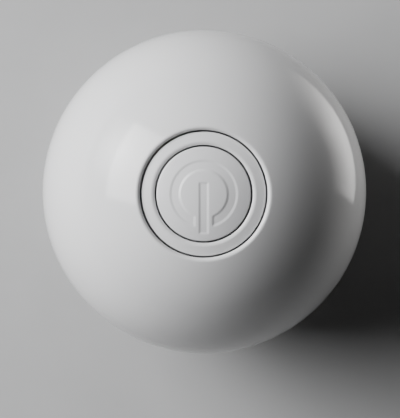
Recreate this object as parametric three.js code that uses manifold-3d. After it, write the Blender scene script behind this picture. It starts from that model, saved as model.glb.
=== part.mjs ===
// A ball-shaped smart speaker: a glossy two-part shell on a rubber foot, a large power button
// inside a light ring on top, sound slots round the lower half, and everything it holds inside.
// Millimetres, +Z up, origin in the middle of the foot's underside. The front is -Y, the port is +Y.
import * as THREE from 'three';
import { mergeVertices } from 'three/addons/utils/BufferGeometryUtils.js';
import Module from 'manifold-3d';

const wasm = await Module();
wasm.setup();

// ---- driving dimensions ------------------------------------------------------------------------

const gap = 0.3;                  // clearance between fixed pieces that seat on each other

// ball
const ballRadius = 50;
const ballCentreZ = 42;           // the ball's middle above the table
const wall = 2.4;                 // both shells
const seamGap = 0.5;              // shadow line between the shells

// foot and base cover
const footHeight = 2.7;
const footInset = 1.1;            // foot's outer edge inside the ball's flat
const footRound = 0.9;
const coverThickness = 2.7;
const coverRecess = 1.6;          // cover's underside above the table
const ledgeHeight = 1.6;          // lip of the lower shell that the cover closes against
const ledgeWidth = 1.5;
const coverMargin = 3.2;          // cover's edge beyond the middle of its screws

// light ring and power button
const buttonRadius = 13.7;
const buttonGap = 0.55;           // running gap between button and ring
const ringWidth = 3.75;
const ringGap = 0.55;             // gap between ring and dome
const ringProud = 0.1;            // ring's outer edge above the dome's lip
const crownRadius = 76;           // ring and button share one shallow crown
const lipRadius = 1.5;            // rounded edge of the dome's opening
const ringLipRadius = 1.3;        // rounded inner edge of the ring
const collarWall = 2.5;           // collar round the dome's opening
const ringFlange = 1.5;
const ringSkirt = 1.4;            // ring's wall beside the button's flange
const buttonTravel = 0.8;
const buttonFlange = 1;
const buttonWall = 1.5;
const buttonTop = 1.8;
const stemRadius = 2.2;

// engraved power symbol, its bar towards the back
const symbolOuter = 9.6;
const symbolInner = 6.95;
const symbolGap = 2.7;            // half the opening of the broken circle
const barHalfWidth = 1.2;
const barBack = 11.4;             // bar's end, from the button's middle
const barFront = 3.2;
const symbolDepth = 0.35;

// sound chamber
const slotCount = 36;
const slotWidth = 2.8;
const slotInset = 1.6;            // from the chamber's floor and ceiling
const linerThickness = 0.7;
const guideThickness = 2;
const guideShare = 0.67;          // reflector cone's height, of the chamber's
const baffleThickness = 2.4;
const baffleDrop = 7.8;           // baffle's underside below the seam
const postRadius = 3.6;
const postTipRadius = 2.8;
const postAngle = 55;             // degrees from the X axis

// battery
const batteryLength = 46;
const batteryHeight = 8;

// charging port at the back
const portWidth = 8.94;
const portHeight = 3.26;
const portLength = 7.3;
const portSkin = 0.35;
const portTongue = 0.7;
const pocketWidth = 13.5;
const pocketHeight = 7.5;
const pocketDepth = 3.6;          // flat floor behind the ball's surface at the port's height
const pocketFloor = 2;
const portHoleClearance = 0.33;
const portBoardLength = 9.5;
const portBoardWidth = 16;

// loudspeaker, heights above the baffle
const coneRadius = 14.2;
const rollRadius = 1.5;           // half-roll edge of the cone
const holeMargin = 1;             // baffle's opening beyond the roll
const driverFlange = 6.3;         // driver's flange beyond the opening
const coilRadius = 5.7;
const coilWall = 0.6;
const magnetRadius = 13;
const coneTravel = 1.5;           // each way

// boards
const boardThickness = 1.6;
const mainBoardMargin = 4;        // main board beyond its screws
const mainBossRadius = 2.8;
const mainBoardRise = 21;         // main board's underside above the seam
const earRadius = 2.3;            // the ring's ears round its screws
const earRoom = 0.7;              // under the dome's inside
const ledHeight = 1.2;
const ledCount = 6;
const switchHeight = 3;
const plungerRadius = 1.6;
const plungerStand = 2;           // plunger above the switch's body
const springRadius = 5.6;
const springWire = 0.5;
const springTurns = 5;
const springSteps = 10;           // chords in one turn

// chassis screws
const chassisInset = 6.1;         // screws inside the shell's inner wall
const chassisBossRadius = 3;

// ---- worked out from the driving dimensions ----------------------------------------------------

const innerRadius = ballRadius - wall;
const undersideZ = footHeight + gap;
const baseRadius = radiusAt(ballRadius, undersideZ);
const upperSeamZ = ballCentreZ + seamGap / 2;
const lowerSeamZ = ballCentreZ - seamGap / 2;

const ringInner = buttonRadius + buttonGap;
const ringOuter = ringInner + ringWidth;
const openingRadius = ringOuter + ringGap;
const lipCentreR = openingRadius + lipRadius;
const lipCentreZ = ballCentreZ + Math.sqrt((ballRadius - lipRadius) ** 2 - lipCentreR ** 2);
const flangeRadius = openingRadius + collarWall;
const controlScrewCircle = flangeRadius + earRadius;
const controlBoardRadius = controlScrewCircle + earRadius + gap;
const mainScrewCircle = controlBoardRadius + mainBossRadius + 4 * gap;
const mainBoardRadius = mainScrewCircle + mainBoardMargin;
const chassisCircle = innerRadius - chassisInset;
const crownCentreZ = lipCentreZ + lipRadius + ringProud - Math.sqrt(crownRadius ** 2 - ringOuter ** 2);
const flangeTopZ = heightAt(innerRadius, controlScrewCircle + earRadius) - earRoom;
const collarBottomZ = flangeTopZ + gap;
const flangeBottomZ = flangeTopZ - ringFlange;
const controlTopZ = flangeBottomZ - gap - ledHeight - gap;
const controlBottomZ = controlTopZ - boardThickness;
const switchTopZ = controlTopZ + gap + switchHeight;
const plungerTopZ = switchTopZ + plungerStand;
const shoulderZ = flangeBottomZ + gap + buttonTravel + gap + buttonFlange + gap;
const buttonFlangeZ = shoulderZ - gap - buttonFlange;

const rollCentre = coneRadius + rollRadius - 0.2;
const driverHole = rollCentre + rollRadius + holeMargin;
const driverFlangeRadius = driverHole + driverFlange;
const driverScrewCircle = driverFlangeRadius - 1.6;
const postCircle = driverHole + postRadius + gap;

const coverRadius = postCircle + coverMargin;
const coverOpening = coverRadius + gap;
const footInner = coverOpening + gap;
const footOuter = baseRadius - footInset;
const coverTopZ = coverRecess + coverThickness;
const ledgeZ = coverTopZ + gap;
const floorTopZ = ledgeZ + ledgeHeight;
const batteryZ = floorTopZ + gap + 0.1;
const guideZ = batteryZ + batteryHeight + gap + 0.1;
const guideTopZ = guideZ + guideThickness;
const baffleZ = ballCentreZ - baffleDrop;
const baffleTopZ = baffleZ + baffleThickness;
const slotLowZ = guideTopZ + slotInset;
const slotHighZ = baffleZ - slotInset;

const portZ = (guideTopZ + baffleZ) / 2;
const pocketY = radiusAt(ballRadius, portZ) - pocketDepth;
const portFrontY = pocketY - gap;
const blockBackY = pocketY - pocketFloor;
const blockHalfX = pocketWidth / 2 + 2.75;
const blockHalfZ = pocketHeight / 2 + 1;
const portBoardTopZ = portZ - portHeight / 2 - gap;
const portBoardThickness = 1.2;
const portBoardFrontY = blockBackY - 1.8;

const mainBoardZ = ballCentreZ + mainBoardRise;
const mainBoardTopZ = mainBoardZ + boardThickness;

const shellSegments = 36;
const partSegments = 24;
const smallSegments = 8;

// ---- finishes ----------------------------------------------------------------------------------

const finishes = {
  glossWhite: finish(0xe9e9ea, 0.16, 0),
  ringWhite: finish(0xededee, 0.2, 0),
  rubberGrey: finish(0x3c3d40, 0.85, 0),
  coverGrey: finish(0xc9cacc, 0.55, 0),
  steel: finish(0xb9bcc0, 0.32, 1),
  blackPlastic: finish(0x1d1e20, 0.6, 0),
  framePlastic: finish(0x2b2c2f, 0.7, 0),
  linerCloth: finish(0x2a2b2d, 0.95, 0),
  paperCone: finish(0x26272a, 0.9, 0),
  softRubber: finish(0x1b1b1c, 0.8, 0),
  ferrite: finish(0x4a4b4e, 0.55, 0.3),
  copper: finish(0xb36b3a, 0.4, 0.9),
  spiderCloth: finish(0xc59a55, 0.95, 0),
  boardGreen: finish(0x1f5a3c, 0.5, 0),
  boardWhite: finish(0xe2e3df, 0.5, 0),
  battery: finish(0x8f9aa6, 0.4, 0.2),
  ledWhite: finish(0xf4f1dc, 0.25, 0),
  leadBlack: finish(0x18181a, 0.6, 0),
  leadRed: finish(0xa32420, 0.55, 0),
  ribbonWhite: finish(0xd9dade, 0.5, 0),
};

function finish(color, roughness, metalness) {
  return new THREE.MeshStandardMaterial({ color, roughness, metalness });
}

// ---- geometry helpers --------------------------------------------------------------------------

// radius of a sphere about the ball's centre, at a height
function radiusAt(radius, z) {
  return Math.sqrt(radius ** 2 - (z - ballCentreZ) ** 2);
}

// height of a sphere about the ball's centre, at a distance from the axis
function heightAt(radius, r) {
  return ballCentreZ + Math.sqrt(radius ** 2 - r ** 2);
}

// height of the crown shared by the button and the ring
function crownAt(r) {
  return crownCentreZ + Math.sqrt(crownRadius ** 2 - r ** 2);
}

// points [r, z] along a circle about (cr, cz), from one angle to another, in degrees
function arc(cr, cz, radius, from, to, steps) {
  return Array.from({ length: steps + 1 }, (_, i) => {
    const a = THREE.MathUtils.degToRad(from + (to - from) * i / steps);
    return [cr + radius * Math.cos(a), cz + radius * Math.sin(a)];
  });
}

// points [r, z] on a sphere about the ball's centre, between two heights
function ballArc(radius, z0, z1, steps) {
  const angle = (z) => THREE.MathUtils.radToDeg(Math.asin((z - ballCentreZ) / radius));
  return arc(0, ballCentreZ, radius, angle(z0), angle(z1), steps);
}

// a closed mesh with shared vertices, no collapsed triangles and its faces outwards
function closedMesh(geometry) {
  const bare = geometry.clone();
  bare.deleteAttribute('normal');
  bare.deleteAttribute('uv');
  const merged = mergeVertices(bare, 1e-4);
  const index = Array.from(merged.index.array);
  const vertProperties = Float32Array.from(merged.attributes.position.array);
  const triVerts = [];
  for (let i = 0; i < index.length; i += 3) {
    const [a, b, c] = index.slice(i, i + 3);
    if (a !== b && b !== c && c !== a) triVerts.push(a, b, c);
  }
  const point = (i) => new THREE.Vector3().fromArray(vertProperties, 3 * i);
  let volume = 0;
  for (let i = 0; i < triVerts.length; i += 3) {
    const [a, b, c] = triVerts.slice(i, i + 3).map(point);
    volume += a.dot(b.cross(c));
  }
  if (volume < 0) triVerts.reverse();
  return { vertProperties, triVerts: Uint32Array.from(triVerts) };
}

function solid(geometry) {
  return new wasm.Manifold(new wasm.Mesh({ numProp: 3, ...closedMesh(geometry) }));
}

function geometryOf(body) {
  const mesh = body.getMesh();
  const geometry = new THREE.BufferGeometry();
  geometry.setAttribute('position', new THREE.BufferAttribute(new Float32Array(mesh.vertProperties), 3));
  geometry.setIndex(new THREE.BufferAttribute(new Uint32Array(mesh.triVerts), 1));
  geometry.computeVertexNormals();
  return geometry;
}

const join = (first, ...others) => others.reduce((a, b) => a.add(b), first);
const cut = (first, ...others) => others.reduce((a, b) => a.subtract(b), first);

// a profile of [r, z] points turned about the Z axis
function turned(profile, segments = partSegments) {
  const points = profile.map(([r, z]) => new THREE.Vector2(Math.max(r, 0), z));
  return solid(new THREE.LatheGeometry(points, segments).rotateX(Math.PI / 2));
}

// a turned ring: the profile closes on itself
function ring(profile, segments = partSegments) {
  return turned([...profile, profile[0]], segments);
}

// a plain ring of rectangular section
function band(inner, outer, z0, z1, segments = partSegments) {
  return ring([[inner, z0], [outer, z0], [outer, z1], [inner, z1]], segments);
}

// an upright cylinder about (x, y)
function rod(radius, z0, z1, x = 0, y = 0, segments = smallSegments) {
  const geometry = new THREE.CylinderGeometry(radius, radius, z1 - z0, segments);
  return solid(geometry.rotateX(Math.PI / 2).translate(x, y, (z0 + z1) / 2));
}

// a box from its lowest to its highest corner
function block([x0, y0, z0], [x1, y1, z1]) {
  const geometry = new THREE.BoxGeometry(x1 - x0, y1 - y0, z1 - z0);
  return solid(geometry.translate((x0 + x1) / 2, (y0 + y1) / 2, (z0 + z1) / 2));
}

// a shape in the XY plane raised between two heights
function raised(shape, z0, z1, curveSegments = 8) {
  const geometry = new THREE.ExtrudeGeometry(shape, { depth: z1 - z0, bevelEnabled: false, curveSegments });
  return solid(geometry.translate(0, 0, z0));
}

// a slot outline with round ends, its length along X
function stadium(width, height, steps) {
  const half = (width - height) / 2;
  const ends = [...arc(half, 0, height / 2, -90, 90, steps), ...arc(-half, 0, height / 2, 90, 270, steps)];
  return new THREE.Shape(ends.map(([x, y]) => new THREE.Vector2(x, y)));
}

// a slot outline standing in the XZ plane, carried along Y
function portPrism(width, height, y0, y1) {
  const upright = new THREE.Matrix4().makeRotationX(Math.PI / 2).setPosition(0, y1, portZ);
  const geometry = new THREE.ExtrudeGeometry(stadium(width, height, 6), { depth: y1 - y0, bevelEnabled: false });
  return solid(geometry.applyMatrix4(upright));
}

// a point on a circle, its angle in degrees
function polar(radius, degrees) {
  const a = THREE.MathUtils.degToRad(degrees);
  return [radius * Math.cos(a), radius * Math.sin(a)];
}

function circleOf(count, radius, first = 0) {
  return Array.from({ length: count }, (_, i) => polar(radius, first + 360 * i / count));
}

// a round lead along a smooth curve
function lead(points, radius, steps) {
  const sides = 6;
  const section = new THREE.Shape(Array.from({ length: sides }, (_, i) => {
    return new THREE.Vector2(...polar(radius, 360 * i / sides));
  }));
  const extrudePath = new THREE.CatmullRomCurve3(points.map((p) => new THREE.Vector3(...p)));
  return solid(new THREE.ExtrudeGeometry(section, { steps, extrudePath, bevelEnabled: false }));
}

// ---- shells ------------------------------------------------------------------------------------

const chassisPlaces = circleOf(3, chassisCircle, 30);
const mainScrewPlaces = circleOf(3, mainScrewCircle, 90);
const controlScrewPlaces = circleOf(3, controlScrewCircle, 30);
const postPlaces = [postAngle, 180 - postAngle, 180 + postAngle, -postAngle].map((a) => polar(postCircle, a));
const driverScrewPlaces = circleOf(4, driverScrewCircle);

// the ball out to the middle of the wall: what joins a shell's inside stays within it
function shellCore() {
  return turned(arc(0, ballCentreZ, innerRadius + wall / 2, -90, 90, 18), shellSegments);
}

// a boss that hangs from the dome's inside, with a screw hole up into it
function domeBoss([x, y], radius, z0, holeRadius, holeTop) {
  const reach = heightAt(ballRadius, Math.hypot(x, y));
  const body = rod(radius, z0, reach, x, y).intersect(shellCore());
  return { body, hole: rod(holeRadius, z0 - 1, holeTop, x, y) };
}

function upperShell() {
  const tangent = THREE.MathUtils.radToDeg(Math.atan2(lipCentreZ - ballCentreZ, lipCentreR));
  const dome = ring([
    [radiusAt(innerRadius, upperSeamZ), upperSeamZ],
    ...ballArc(ballRadius, upperSeamZ, ballCentreZ + ballRadius * Math.sin(tangent * Math.PI / 180), 10),
    ...arc(lipCentreR, lipCentreZ, lipRadius, tangent, 180, 4).slice(1),
    [openingRadius, collarBottomZ],
    [flangeRadius, collarBottomZ],
    ...ballArc(innerRadius, heightAt(innerRadius, flangeRadius), upperSeamZ, 7).slice(0, -1),
  ], shellSegments);
  const bosses = [
    ...chassisPlaces.map((p) => domeBoss(p, chassisBossRadius, baffleTopZ + gap, 1.55, baffleTopZ + 10)),
    ...mainScrewPlaces.map((p) => domeBoss(p, mainBossRadius, mainBoardTopZ + gap, 1.3, mainBoardTopZ + 7.5)),
    ...controlScrewPlaces.map((p) => domeBoss(p, 2.6, flangeTopZ + gap, 1.2, flangeTopZ + 3)),
  ];
  return cut(join(dome, ...bosses.map((b) => b.body)), ...bosses.map((b) => b.hole));
}

// upright slots round the lower half, left out where the port is
function soundSlots() {
  const height = slotHighZ - slotLowZ;
  const clear = Math.asin((blockHalfX + slotWidth) / pocketY) * 180 / Math.PI;
  const slots = [];
  for (let i = 0; i < slotCount; i += 1) {
    const angle = 360 * (i + 0.5) / slotCount;
    if (Math.abs(angle - 90) < clear) continue;
    const geometry = new THREE.ExtrudeGeometry(stadium(height, slotWidth, 3),
      { depth: ballRadius / 2, bevelEnabled: false });
    geometry.rotateY(-Math.PI / 2).translate(-ballRadius / 2, 0, 0);
    geometry.rotateZ(THREE.MathUtils.degToRad(angle) + Math.PI);
    slots.push(solid(geometry.translate(0, 0, (slotLowZ + slotHighZ) / 2)));
  }
  return slots;
}

// the thick place behind the port, with the shelf that carries its board
function portBlock() {
  const low = [-blockHalfX, blockBackY, portZ - blockHalfZ];
  const high = [blockHalfX, ballRadius, portZ + blockHalfZ];
  const shelfTop = portBoardTopZ - portBoardThickness - gap;
  const shelf = block([-blockHalfX, portBoardFrontY - portBoardLength, portZ - blockHalfZ],
    [blockHalfX, blockBackY + 0.5, shelfTop]);
  return join(block(low, high), shelf).intersect(shellCore());
}

function lowerShell() {
  const guideLedge = radiusAt(innerRadius, guideZ) - 3.2;
  const shell = ring([
    [baseRadius, undersideZ],
    ...ballArc(ballRadius, undersideZ, lowerSeamZ, 6).slice(1),
    ...ballArc(innerRadius, lowerSeamZ, guideZ - gap, 4),
    [guideLedge, guideZ - gap],
    [guideLedge, guideZ - 1.8],
    ...ballArc(innerRadius, guideZ - 3.6, floorTopZ, 2),
    [coverOpening - ledgeWidth, floorTopZ],
    [coverOpening - ledgeWidth, ledgeZ],
    [coverOpening, ledgeZ],
    [coverOpening, undersideZ],
  ], shellSegments);
  const pocket = portPrism(pocketWidth, pocketHeight, pocketY, ballRadius + 1);
  const mouth = portPrism(portWidth + 2 * portHoleClearance, portHeight + 2 * portHoleClearance,
    blockBackY - 1, pocketY + 1);
  const notches = postPlaces.map(([x, y]) => rod(postTipRadius + gap, ledgeZ - 1, floorTopZ + 1, x, y));
  return cut(join(shell, portBlock()), ...soundSlots(), pocket, mouth, ...notches);
}

function seamGasket() {
  const outer = innerRadius - gap;
  return band(outer - 1.2, outer, ballCentreZ - 2, ballCentreZ + 2, shellSegments);
}

// cloth behind the slots, open at the back where the port is
function grilleLiner() {
  const outer = innerRadius - gap;
  const low = guideTopZ + gap;
  const high = baffleZ - gap;
  const cloth = ring([
    ...ballArc(outer, low, high, 3),
    ...ballArc(outer - linerThickness, high, low, 3),
  ], shellSegments);
  const half = blockHalfX + 2 * gap;
  return cut(cloth, block([-half, 0, low - 1], [half, ballRadius, high + 1]));
}

// ---- light ring and button ---------------------------------------------------------------------

function lightRing() {
  const edge = 0.3;
  const lipR = ringInner + ringLipRadius;
  const lipZ = crownCentreZ + Math.sqrt((crownRadius - ringLipRadius) ** 2 - lipR ** 2);
  const lean = THREE.MathUtils.radToDeg(Math.atan2(lipZ - crownCentreZ, lipR));
  const counterbore = ringOuter - ringSkirt;
  const body = ring([
    [counterbore, flangeBottomZ],
    [flangeRadius, flangeBottomZ],
    [flangeRadius, flangeTopZ],
    [ringOuter, flangeTopZ],
    [ringOuter, crownAt(ringOuter) - edge],
    [ringOuter - edge, crownAt(ringOuter - edge)],
    [(ringOuter + lipR) / 2, crownAt((ringOuter + lipR) / 2)],
    ...arc(lipR, lipZ, ringLipRadius, lean, 180, 4),
    [ringInner, shoulderZ],
    [counterbore, shoulderZ],
  ], shellSegments);
  const ears = controlScrewPlaces.map(([x, y]) => rod(earRadius, controlTopZ + gap, flangeTopZ, x, y));
  const holes = controlScrewPlaces.map(([x, y]) => rod(1.2, controlTopZ - 1, flangeTopZ + 1, x, y));
  const arms = controlScrewPlaces.map(([x, y]) => {
    const reach = controlScrewCircle - flangeRadius + 1;
    const arm = new THREE.BoxGeometry(reach, 3.2, ringFlange);
    arm.translate(controlScrewCircle - reach / 2, 0, flangeBottomZ + ringFlange / 2);
    return solid(arm.rotateZ(Math.atan2(y, x)));
  });
  return cut(join(body, ...arms, ...ears), ...holes);
}

// broken circle and bar, raised through the button's top
function symbolPrism() {
  const low = crownAt(buttonRadius) - 2;
  const high = crownAt(0) + 1;
  const circle = band(symbolInner, symbolOuter, low, high, shellSegments);
  const opening = block([-symbolGap, 0, low - 1], [symbolGap, symbolOuter + 1, high + 1]);
  const bar = block([-barHalfWidth, -barFront, low], [barHalfWidth, barBack, high]);
  return join(cut(circle, opening), bar);
}

function powerButton() {
  const edge = 0.35;
  const skirtInner = buttonRadius - buttonWall;
  const heel = ringOuter - ringSkirt - 0.4;
  const roof = (r) => crownAt(r) - buttonTop;
  const crown = [0.25, 0.5, 0.75].map((t) => [buttonRadius * t, crownAt(buttonRadius * t)]);
  const cap = turned([
    [0, roof(0)],
    [skirtInner, roof(skirtInner)],
    [skirtInner, buttonFlangeZ],
    [heel, buttonFlangeZ],
    [heel, buttonFlangeZ + buttonFlange],
    [buttonRadius, buttonFlangeZ + buttonFlange],
    [buttonRadius, crownAt(buttonRadius) - edge],
    [buttonRadius - edge, crownAt(buttonRadius - edge)],
    ...crown.reverse(),
    [0, crownAt(0)],
  ], shellSegments);
  const bedZ = roof(buttonRadius) - 1;
  const bed = turned([
    [0, bedZ],
    [buttonRadius + 1, bedZ],
    ...arc(0, crownCentreZ, crownRadius - symbolDepth, 78, 90, 6),
  ], shellSegments);
  const engraving = cut(symbolPrism(), bed);
  const stem = rod(stemRadius, plungerTopZ + gap, roof(0) + buttonTop / 2);
  return join(cut(cap, engraving), stem);
}

// ---- base --------------------------------------------------------------------------------------

function footRing() {
  const round = Math.min(footRound, (footOuter - footInner) / 4);
  return ring([
    ...arc(footInner + round, round, round, 180, 270, 2),
    ...arc(footOuter - 0.6 - round, round, round, 270, 350, 2),
    [footOuter, footHeight],
    [footInner, footHeight],
  ], shellSegments);
}

function baseCover() {
  const disc = turned([
    [0, coverRecess],
    [coverRadius - 0.5, coverRecess],
    [coverRadius, coverRecess + 0.5],
    [coverRadius, coverTopZ],
    [0, coverTopZ],
  ], shellSegments);
  const holes = postPlaces.flatMap(([x, y]) => [
    rod(2.5, coverRecess - 1, coverRecess + 1.5, x, y),
    rod(1.5, coverRecess, coverTopZ + 1, x, y),
  ]);
  return cut(disc, ...holes);
}

// a pan-headed screw: its head's seat at z = 0, its point up
function screw(shankRadius, length, headRadius, headHeight) {
  return turned([
    [0, -headHeight],
    [headRadius * 0.75, -headHeight],
    [headRadius, -headHeight * 0.6],
    [headRadius, 0],
    [shankRadius, 0],
    [shankRadius, length - shankRadius],
    [0, length],
  ], smallSegments);
}

// the cross recess in a screw's head
function crossed(body, headRadius, headHeight) {
  const arm = headRadius * 0.62;
  const half = headRadius * 0.14;
  const depth = -headHeight * 0.45;
  return cut(body, block([-arm, -half, -headHeight - 1], [arm, half, depth]),
    block([-half, -arm, -headHeight - 1], [half, arm, depth]));
}

// ---- sound chamber -----------------------------------------------------------------------------

const guideConeRadius = postCircle - postRadius - 3 * gap;

// height of the reflector above its plate: a hollow-sided cone
function reflector(r) {
  return guideShare * (baffleZ - guideTopZ) * Math.max(0, 1 - r / guideConeRadius) ** 1.6;
}

function waveguide() {
  const rim = radiusAt(innerRadius, guideZ) - 2 * gap;
  const steps = Array.from({ length: 6 }, (_, i) => guideConeRadius * (1 - i / 6));
  const top = steps.map((r) => [r, guideTopZ + reflector(r)]);
  const hollow = steps.slice(2).map((r) => [r, guideZ + reflector(r + 1.5)]);
  const plate = turned([
    [0, guideZ + reflector(1.5)],
    ...hollow.reverse(),
    [steps[1], guideZ],
    [rim, guideZ],
    [rim, guideTopZ],
    ...top,
    [0, guideTopZ + reflector(0)],
  ]);
  const holes = postPlaces.map(([x, y]) => rod(postTipRadius + gap, guideZ - 1, guideTopZ + 1, x, y));
  const leadHole = rod(leadRadius + 0.6, guideZ - 1, guideTopZ + 1, ...leadPlace);
  return cut(plate, ...holes, leadHole);
}

function baffleFrame() {
  const rim = radiusAt(innerRadius - gap - linerThickness, baffleZ) - gap;
  const plate = band(driverHole, rim, baffleZ, baffleTopZ, shellSegments);
  const posts = postPlaces.flatMap(([x, y]) => [
    rod(postRadius, guideTopZ + gap, baffleZ + 1, x, y),
    rod(postTipRadius, coverTopZ + gap, guideTopZ + 1, x, y),
  ]);
  const holes = [
    ...postPlaces.map(([x, y]) => rod(1.45, coverTopZ, coverTopZ + 9.5, x, y)),
    ...chassisPlaces.map(([x, y]) => rod(1.6, baffleZ - 1, baffleTopZ + 1, x, y)),
    ...driverScrewPlaces.map(([x, y]) => rod(1.2, baffleZ - 1, baffleTopZ + 1, x, y)),
    rod(leadRadius + 0.6, baffleZ - 1, baffleTopZ + 1, ...leadPlace),
    rod(leadRadius + 0.6, baffleZ - 1, baffleTopZ + 1, ...chargeLeadPlace),
  ];
  return cut(join(plate, ...posts), ...holes);
}

// ---- loudspeaker, in its own frame: z = 0 on the baffle ----------------------------------------

const flangeZ = 1.4;
const flangeHeight = 1.2;
const surroundZ = 0.6;
const surroundSkin = 0.5;
const shelfZ = 10.7;
const shelfHeight = 1.2;
const poleRadius = coilRadius - coilWall - gap;
const plateZ = shelfZ + shelfHeight + gap;
const plateHeight = 2;
const magnetZ = plateZ + plateHeight + gap;
const magnetHeight = 5;
const yokeZ = magnetZ + magnetHeight + gap;
const yokeHeight = 2;
const neckZ = 8;
const coilOverlap = 1.4;          // coil below the cone's neck
const capSkin = 0.5;

function driverBasket() {
  const inner = rollCentre + rollRadius - 0.2;
  const shelfRadius = magnetRadius + 0.5;
  const frame = ring([
    [driverFlangeRadius, flangeZ],
    [driverFlangeRadius, flangeZ + flangeHeight],
    [inner + 1.8, flangeZ + flangeHeight],
    [shelfRadius, shelfZ],
    [shelfRadius, shelfZ + shelfHeight],
    [coilRadius + 0.8, shelfZ + shelfHeight],
    [coilRadius + 0.8, shelfZ],
    [shelfRadius - 1.3, shelfZ],
    [inner, flangeZ + flangeHeight + 0.4],
    [inner, flangeZ],
  ]);
  const windows = [45, 135].map((a) => {
    const opening = new THREE.BoxGeometry(3 * driverFlangeRadius, 12, 4);
    opening.translate(0, 0, (flangeZ + flangeHeight + shelfZ) / 2);
    return solid(opening.rotateZ(THREE.MathUtils.degToRad(a)));
  });
  const holes = driverScrewPlaces.map(([x, y]) => rod(1.3, flangeZ - 1, flangeZ + flangeHeight + 1, x, y));
  return cut(frame, ...windows, ...holes);
}

// half-roll edge between the cone and the basket
function surround() {
  const outer = arc(rollCentre, surroundZ + surroundSkin / 2, rollRadius + surroundSkin / 2, 180, 360, 3);
  const inner = arc(rollCentre, surroundZ + surroundSkin / 2, rollRadius - surroundSkin / 2, 360, 180, 3);
  const left = rollCentre - rollRadius - 0.9;
  const right = rollCentre + rollRadius + 2;
  const top = surroundZ + surroundSkin;
  return ring([
    [left, surroundZ],
    ...outer.map(([r, z]) => [r, Math.min(z, surroundZ)]),
    [right, surroundZ],
    [right, top],
    ...inner.map(([r, z]) => [r, Math.min(z, top)]),
    [left, top],
  ]);
}

function driverCone() {
  const skin = 0.6;
  const neck = coilRadius + gap;
  const edgeZ = surroundZ + surroundSkin + gap;
  return ring([
    [neck, neckZ - 1.2],
    [(neck + coneRadius) / 2, (neckZ + edgeZ) / 2 - 1.3],
    [coneRadius, edgeZ],
    [coneRadius, edgeZ + skin],
    [(neck + coneRadius) / 2, (neckZ + edgeZ) / 2 - 1.3 + skin],
    [neck, neckZ],
  ]);
}

function dustCap() {
  const r = coilRadius - 0.3;
  const low = (x) => neckZ - coilOverlap - gap - capSkin - 2 * (1 - (x / r) ** 2);
  const steps = [0, 0.35, 0.7, 1].map((t) => r * t);
  return turned([
    ...steps.map((x) => [x, low(x)]),
    ...steps.reverse().map((x) => [x, low(x) + capSkin]),
  ]);
}

// corrugated cloth ring that centres the coil
function spider() {
  const inner = coilRadius + gap;
  const outer = magnetRadius - 0.4;
  const count = 6;
  const wave = (i) => neckZ + 1 + 0.35 * Math.sin(Math.PI * i / 2);
  const places = Array.from({ length: count + 1 }, (_, i) => [inner + (outer - inner) * i / count, wave(i)]);
  return ring([...places, ...places.map(([r, z]) => [r, z + 0.4]).reverse()]);
}

function poleYoke() {
  return turned([
    [0, plateZ],
    [poleRadius, plateZ],
    [poleRadius, yokeZ],
    [magnetRadius - 1.5, yokeZ],
    [magnetRadius - 1.5, yokeZ + yokeHeight],
    [0, yokeZ + yokeHeight],
  ]);
}

// ---- charging port -----------------------------------------------------------------------------

function chargePort() {
  const backY = portFrontY - portLength;
  const shell = cut(
    portPrism(portWidth, portHeight, backY, portFrontY),
    portPrism(portWidth - 2 * portSkin, portHeight - 2 * portSkin, backY + 1, portFrontY + 1),
  );
  const tongueHalf = portWidth / 2 - 1.15;
  const tongue = block([-tongueHalf, backY + 0.5, portZ - portTongue / 2],
    [tongueHalf, portFrontY - 1, portZ + portTongue / 2]);
  return join(shell, tongue);
}

function portGasket() {
  const y1 = blockBackY - gap;
  const y0 = y1 - 1.2;
  return cut(
    portPrism(portWidth + 2.6, portHeight + 2.6, y0, y1),
    portPrism(portWidth + 2 * gap, portHeight + 2 * gap, y0 - 1, y1 + 1),
  );
}

function portBoard() {
  return block([-portBoardWidth / 2, portBoardFrontY - portBoardLength, portBoardTopZ - portBoardThickness],
    [portBoardWidth / 2, portBoardFrontY, portBoardTopZ]);
}

// ---- boards and leads --------------------------------------------------------------------------

const leadRadius = 0.9;
const leadPlace = [33, 0];
const chargeLeadPlace = [0, portBoardFrontY - portBoardLength + 1.1];

function batteryPack() {
  const halfWidth = postPlaces[0][1] - postTipRadius - 2 * gap;
  const corner = 3;
  const half = batteryLength / 2;
  const shape = new THREE.Shape();
  shape.absarc(half - corner, halfWidth - corner, corner, 0, Math.PI / 2);
  shape.absarc(-half + corner, halfWidth - corner, corner, Math.PI / 2, Math.PI);
  shape.absarc(-half + corner, -halfWidth + corner, corner, Math.PI, 1.5 * Math.PI);
  shape.absarc(half - corner, -halfWidth + corner, corner, 1.5 * Math.PI, 2 * Math.PI);
  return raised(shape, batteryZ, batteryZ + batteryHeight, 4);
}

function boardDisc(radius, z, screwPlaces) {
  const disc = rod(radius, z, z + boardThickness, 0, 0, partSegments);
  return cut(disc, ...screwPlaces.map(([x, y]) => rod(1.4, z - 1, z + boardThickness + 1, x, y)));
}

// an upright strip on the main board's front edge
function wifiAntenna() {
  const y = 2 - mainScrewCircle;
  return block([-13, y, mainBoardTopZ + gap], [13, y + 0.8, mainBoardTopZ + gap + 8]);
}

function switchBody() {
  const z0 = controlTopZ + gap;
  const body = block([-3, -3, z0], [3, 3, switchTopZ]);
  return cut(body, rod(plungerRadius + gap, z0 + 0.6, switchTopZ + 1));
}

// a compression spring between the control board and the button
function buttonSpring() {
  const low = controlTopZ + gap + springWire;
  const high = crownAt(0) - buttonTop - springWire - 2 * gap;
  const turns = springTurns * springSteps;
  const points = Array.from({ length: turns + 1 }, (_, i) => {
    return [...polar(springRadius, 360 * i / springSteps), low + (high - low) * i / turns];
  });
  return lead(points, springWire, turns);
}

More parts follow.
